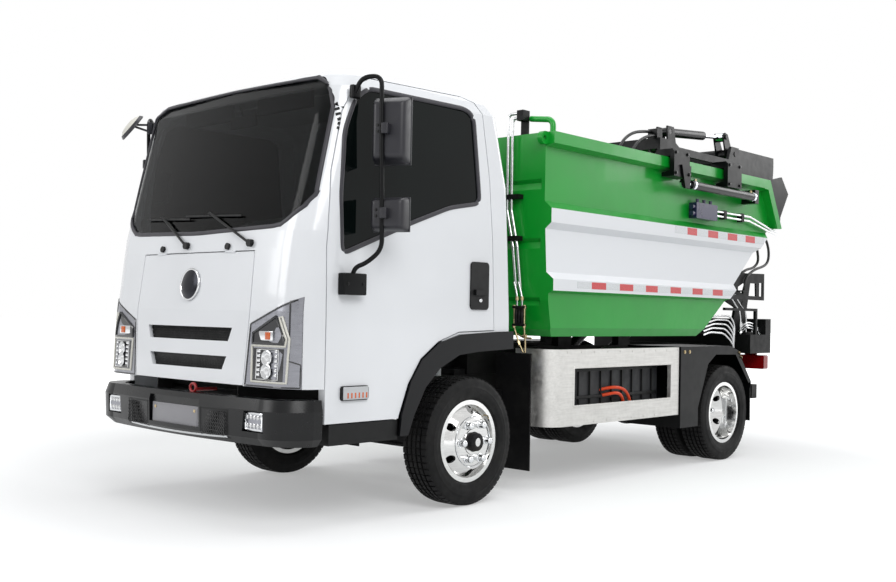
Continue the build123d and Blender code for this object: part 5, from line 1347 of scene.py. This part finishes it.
def swollen(name, mesh):
    # voxel remesh, then cloth held under pressure, each point kept near its start
    pad = bpy.data.objects.new(name, mesh)
    bpy.context.scene.collection.objects.link(pad)
    remesh = pad.modifiers.new("remesh", "REMESH")
    remesh.mode, remesh.voxel_size = "VOXEL", seat["voxel"]
    bpy.context.view_layer.update()
    fine = bpy.data.meshes.new_from_object(pad.evaluated_get(bpy.context.evaluated_depsgraph_get()))
    pad.modifiers.clear()
    pad.data = fine
    start = [vertex.co.copy() for vertex in fine.vertices]
    cloth = pad.modifiers.new("cloth", "CLOTH")
    cloth.settings.use_pressure = True
    cloth.settings.uniform_pressure_force = seat["pressure"]
    cloth.settings.effector_weights.gravity = 0
    cloth.point_cache.frame_start, cloth.point_cache.frame_end = 1, seat["steps"]
    for step in range(1, seat["steps"] + 1):
        bpy.context.scene.frame_set(step)
    soft = bpy.data.meshes.new_from_object(pad.evaluated_get(bpy.context.evaluated_depsgraph_get()))
    for vertex, before in zip(soft.vertices, start):
        moved = vertex.co - before
        if moved.length > seat["cap"]:
            vertex.co = before + moved.normalized() * seat["cap"]
    bpy.data.objects.remove(pad)
    bpy.context.scene.frame_set(1)
    return soft


def padMesh(name, build):
    bm = bmesh.new()
    build(bm)
    bmesh.ops.recalc_face_normals(bm, faces=bm.faces)
    mesh = bpy.data.meshes.new(name)
    bm.to_mesh(mesh)
    bm.free()
    return swollen(name, mesh)


def seams(pads):
    # piping laid along the cushion and the backrest, pressed a little into them
    solid, bm = bmesh.new(), bmesh.new()
    for mesh in pads:
        solid.from_mesh(mesh)
    tree = BVHTree.FromBMesh(solid)
    solid.free()
    spread = [k / 12 for k in range(13)]
    runs = [([at(x, -0.53 + 0.42 * t, 1.30) for t in spread], -upward) for x in (-0.135, -0.045, 0.045, 0.135)]
    runs += [([at(x, -0.60, 1.24 + 0.46 * t) for t in spread], rearward) for x in (-0.125, 0.0, 0.125)]
    runs += [([at(-0.19 + 0.38 * t, -0.60, 1.62) for t in spread], rearward)]
    for points, way in runs:
        hits = [lay(tree, point, way) for point in points]
        addTube(bm, [place - normal * 0.0008 for place, normal in hits], seat["thread"], 8)
    mesh = bpy.data.meshes.new("seams")
    bm.to_mesh(mesh)
    bm.free()
    return mesh


def movedCopy(mesh, shift):
    copy = mesh.copy()
    copy.transform(shift)
    return copy


def seatSet():
    pads = [padMesh("seatCushion", lambda bm: addBlock(bm, *[at(*point) for point in seat["cushion"]], 0.045, 4)),
            padMesh("seatBack", leanedBack),
            padMesh("seatHead", lambda bm: addBlock(bm, *[at(*point) for point in seat["head"]], 0.030, 4))]
    piping = seams(pads)
    for side, sign in sides.items():
        x = sign * seat["x"]
        shift = Matrix.Translation(Vector((x, 0, 0)))
        done = []
        for label, mesh in zip(("seatCushion_", "seatBack_", "seatHead_"), pads):
            piece = placePiece(label + side, movedCopy(mesh, shift), "fabric", "chassis", 60)
            done.append(piece)
        placePiece("seatSeams_" + side, movedCopy(piping, shift), "seamThread", "chassis", 60)
        if side == "left":
            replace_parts(done[0], "seats")
        bm = bmesh.new()
        addBlock(bm, at(x - 0.205, -0.535, 1.028), at(x + 0.205, -0.085, 1.062), 0.010, 3)
        for post in (-0.05, 0.05):
            addTube(bm, [at(x + post, 0.070, 1.740), at(x + post, 0.088, 1.800)], 0.006, 10)
        finishPiece(bm, "seatPan_" + side, "plastic", "chassis", 40)


seatSet()
print("stage: seats made")

# ---- side marker lamps, door locks and the vents of the front pillars
door = {
    "marker": ((-1.020, 0.664), (-0.846, 0.731)), "markerMiddle": (-0.93, 0.700), "cells": 6, "cellStart": -0.995,
    "cellPitch": 0.026, "lock": (0.045, 1.200),
    "barrel": [(0, 0.006), (0.010, 0.006), (0.012, 0.004), (0.013, 0), (0.013, -0.002), (0, -0.002)],
}


def doorFurniture():
    for side, sign in sides.items():
        out = across * sign
        tree = skin("door_fittings_" + side, "door_" + side)
        place = lay(tree, at(sign * 1.3, *door["markerMiddle"]), -out)[0]
        low, high = [at(0, *corner) for corner in door["marker"]]
        low.x, high.x = sorted((place.x - sign * 0.003, place.x + sign * 0.006))
        bm = bmesh.new()
        addBlock(bm, low, high, 0.005, 3)
        finishPiece(bm, "markerLens_" + side, "clearLens", "door_" + side, 40)
        bm = bmesh.new()
        xs = sorted((place.x, place.x + sign * 0.0068))
        for k in range(door["cells"]):
            y = at(0, door["cellStart"] + k * door["cellPitch"], 0).y
            addBlock(bm, (xs[0], y, 0.672), (xs[1], y + 0.010, 0.700), 0.001, 2)
        finishPiece(bm, "markerAmber_" + side, "amberLens", "door_" + side, 40)
        bm = bmesh.new()
        addLathe(bm, door["barrel"], *lay(tree, at(sign * 1.3, *door["lock"]), -out), 24)
        finishPiece(bm, "doorLock_" + side, "chrome", "door_" + side, 40)


# six slats down each pillar: front and rear end of the topmost, and the way to the lowest, as (station, height)
pillar = {"slats": 6, "front": (-1.062, 2.190), "rear": (-1.040, 2.200), "step": (0.020, -0.130)}


def pillarVents():
    tree = skin("cab_shell")
    section = ((-0.008, -0.001), (-0.006, 0.004), (0.006, 0.004), (0.008, -0.001))
    for side, sign in sides.items():
        bm = bmesh.new()
        for k in range(pillar["slats"]):
            share = k / (pillar["slats"] - 1)
            start, end = [at(sign * 1.3, *[value + step * share for value, step in zip(pillar[key], pillar["step"])])
                          for key in ("front", "rear")]
            hits = [lay(tree, start.lerp(end, t), -across * sign) for t in (0.0, 0.5, 1.0)]
            addStrip(bm, *zip(*hits), section)
        finishPiece(bm, "pillarVents_" + side, "plastic", "chassis", 40)


doorFurniture()
pillarVents()
print("stage: door furniture made")


# ---- floor, backdrop and light
def flatQuad(name, corners, material):
    mesh = bpy.data.meshes.new(name)
    mesh.from_pydata(corners, [], [tuple(range(len(corners)))])
    mesh.materials.append(material)
    piece = bpy.data.objects.new(name, mesh)
    bpy.context.scene.collection.objects.link(piece)
    return piece


def seenDirectly(tree):
    # 1 for what the camera sees itself, in a mirror or through glass
    rays = addNode(tree, "ShaderNodeLightPath").outputs
    shown = {0: rays["Is Camera Ray"], 1: rays["Is Glossy Ray"]}
    either = addNode(tree, "ShaderNodeMath", shown, 0, operation="MAXIMUM")
    return addNode(tree, "ShaderNodeMath", {0: either, 1: rays["Is Transmission Ray"]}, 0, operation="MAXIMUM")


studio = {
    "floor": "#d2d3d4", "worn": "#d5d6d6", "near": 0.36, "far": 1.3, "light": 0.34, "tint": (0.95, 0.97, 1.0, 1.0),
    # place, target, size and power of each lamp
    "lamps": {"keyLamp": ((7.0, -5.0, 6.0), (0, 0, 1.2), (5.0, 4.0), 360),
              "frontLamp": ((-3.5, -9.0, 4.5), (0, -1.5, 1.2), (4.0, 4.0), 215),
              "topLamp": ((0.5, 0.5, 9.0), (0, 0, 0), (6.0, 8.0), 400),
              "rearLamp": ((4.0, 8.0, 5.0), (0, 1.5, 1.2), (4.0, 4.0), 200)},
}


def floorMaterial():
    # matt painted floor that the camera sees as white, with the truck's shadow on it
    shader = {"Roughness": 0.9, "Specular IOR Level": 0.0, "Emission Color": (1, 1, 1, 1)}
    material, tree, place = startMaterial("whiteStudioFloor", **shader)
    cloud = addNode(tree, "ShaderNodeTexNoise", {"Vector": place, "Scale": 3.0, "Detail": 3.0, "Roughness": uneven}, 0)
    tones = {0: cloud, 6: linear(studio["floor"]), 7: linear(studio["worn"])}
    base = addNode(tree, "ShaderNodeMix", tones, 2, data_type="RGBA")
    away = addNode(tree, "ShaderNodeVectorMath", {0: place}, "Value", operation="LENGTH")
    lift = addNode(tree, "ShaderNodeMapRange", {0: away, 1: 3.2, 2: 9.0, 3: studio["near"], 4: studio["far"]}, 0)
    glow = addNode(tree, "ShaderNodeMath", {0: seenDirectly(tree), 1: lift}, 0, operation="MULTIPLY")
    return finishMaterial(material, {"Base Color": base, "Emission Strength": glow})


flatQuad("studioFloor", [(-80, -80, 0), (80, -80, 0), (80, 80, 0), (-80, 80, 0)], floorMaterial())

world = bpy.data.worlds.new("studioWorld")
world.use_nodes = True
bpy.context.scene.world = world
worldTree = world.node_tree
background = worldTree.nodes["Background"]
seen = seenDirectly(worldTree)
tint = addNode(worldTree, "ShaderNodeMix", {0: seen, 6: studio["tint"], 7: (1, 1, 1, 1)}, 2, data_type="RGBA")
strength = addNode(worldTree, "ShaderNodeMapRange", {0: seen, 3: studio["light"]}, 0)
worldTree.links.new(tint, background.inputs["Color"])
worldTree.links.new(strength, background.inputs["Strength"])


def areaLamp(name, place, target, size, power):
    data = bpy.data.lights.new(name, "AREA")
    data.shape = "RECTANGLE"
    data.size, data.size_y = size
    data.energy = power
    light = bpy.data.objects.new(name, data)
    bpy.context.scene.collection.objects.link(light)
    light.location = place
    light.rotation_euler = (Vector(target) - Vector(place)).to_track_quat("-Z", "Y").to_euler()


for name, values in studio["lamps"].items():
    areaLamp(name, *values)
bpy.context.scene.view_settings.view_transform = "Standard"
print("stage: floor and light placed")
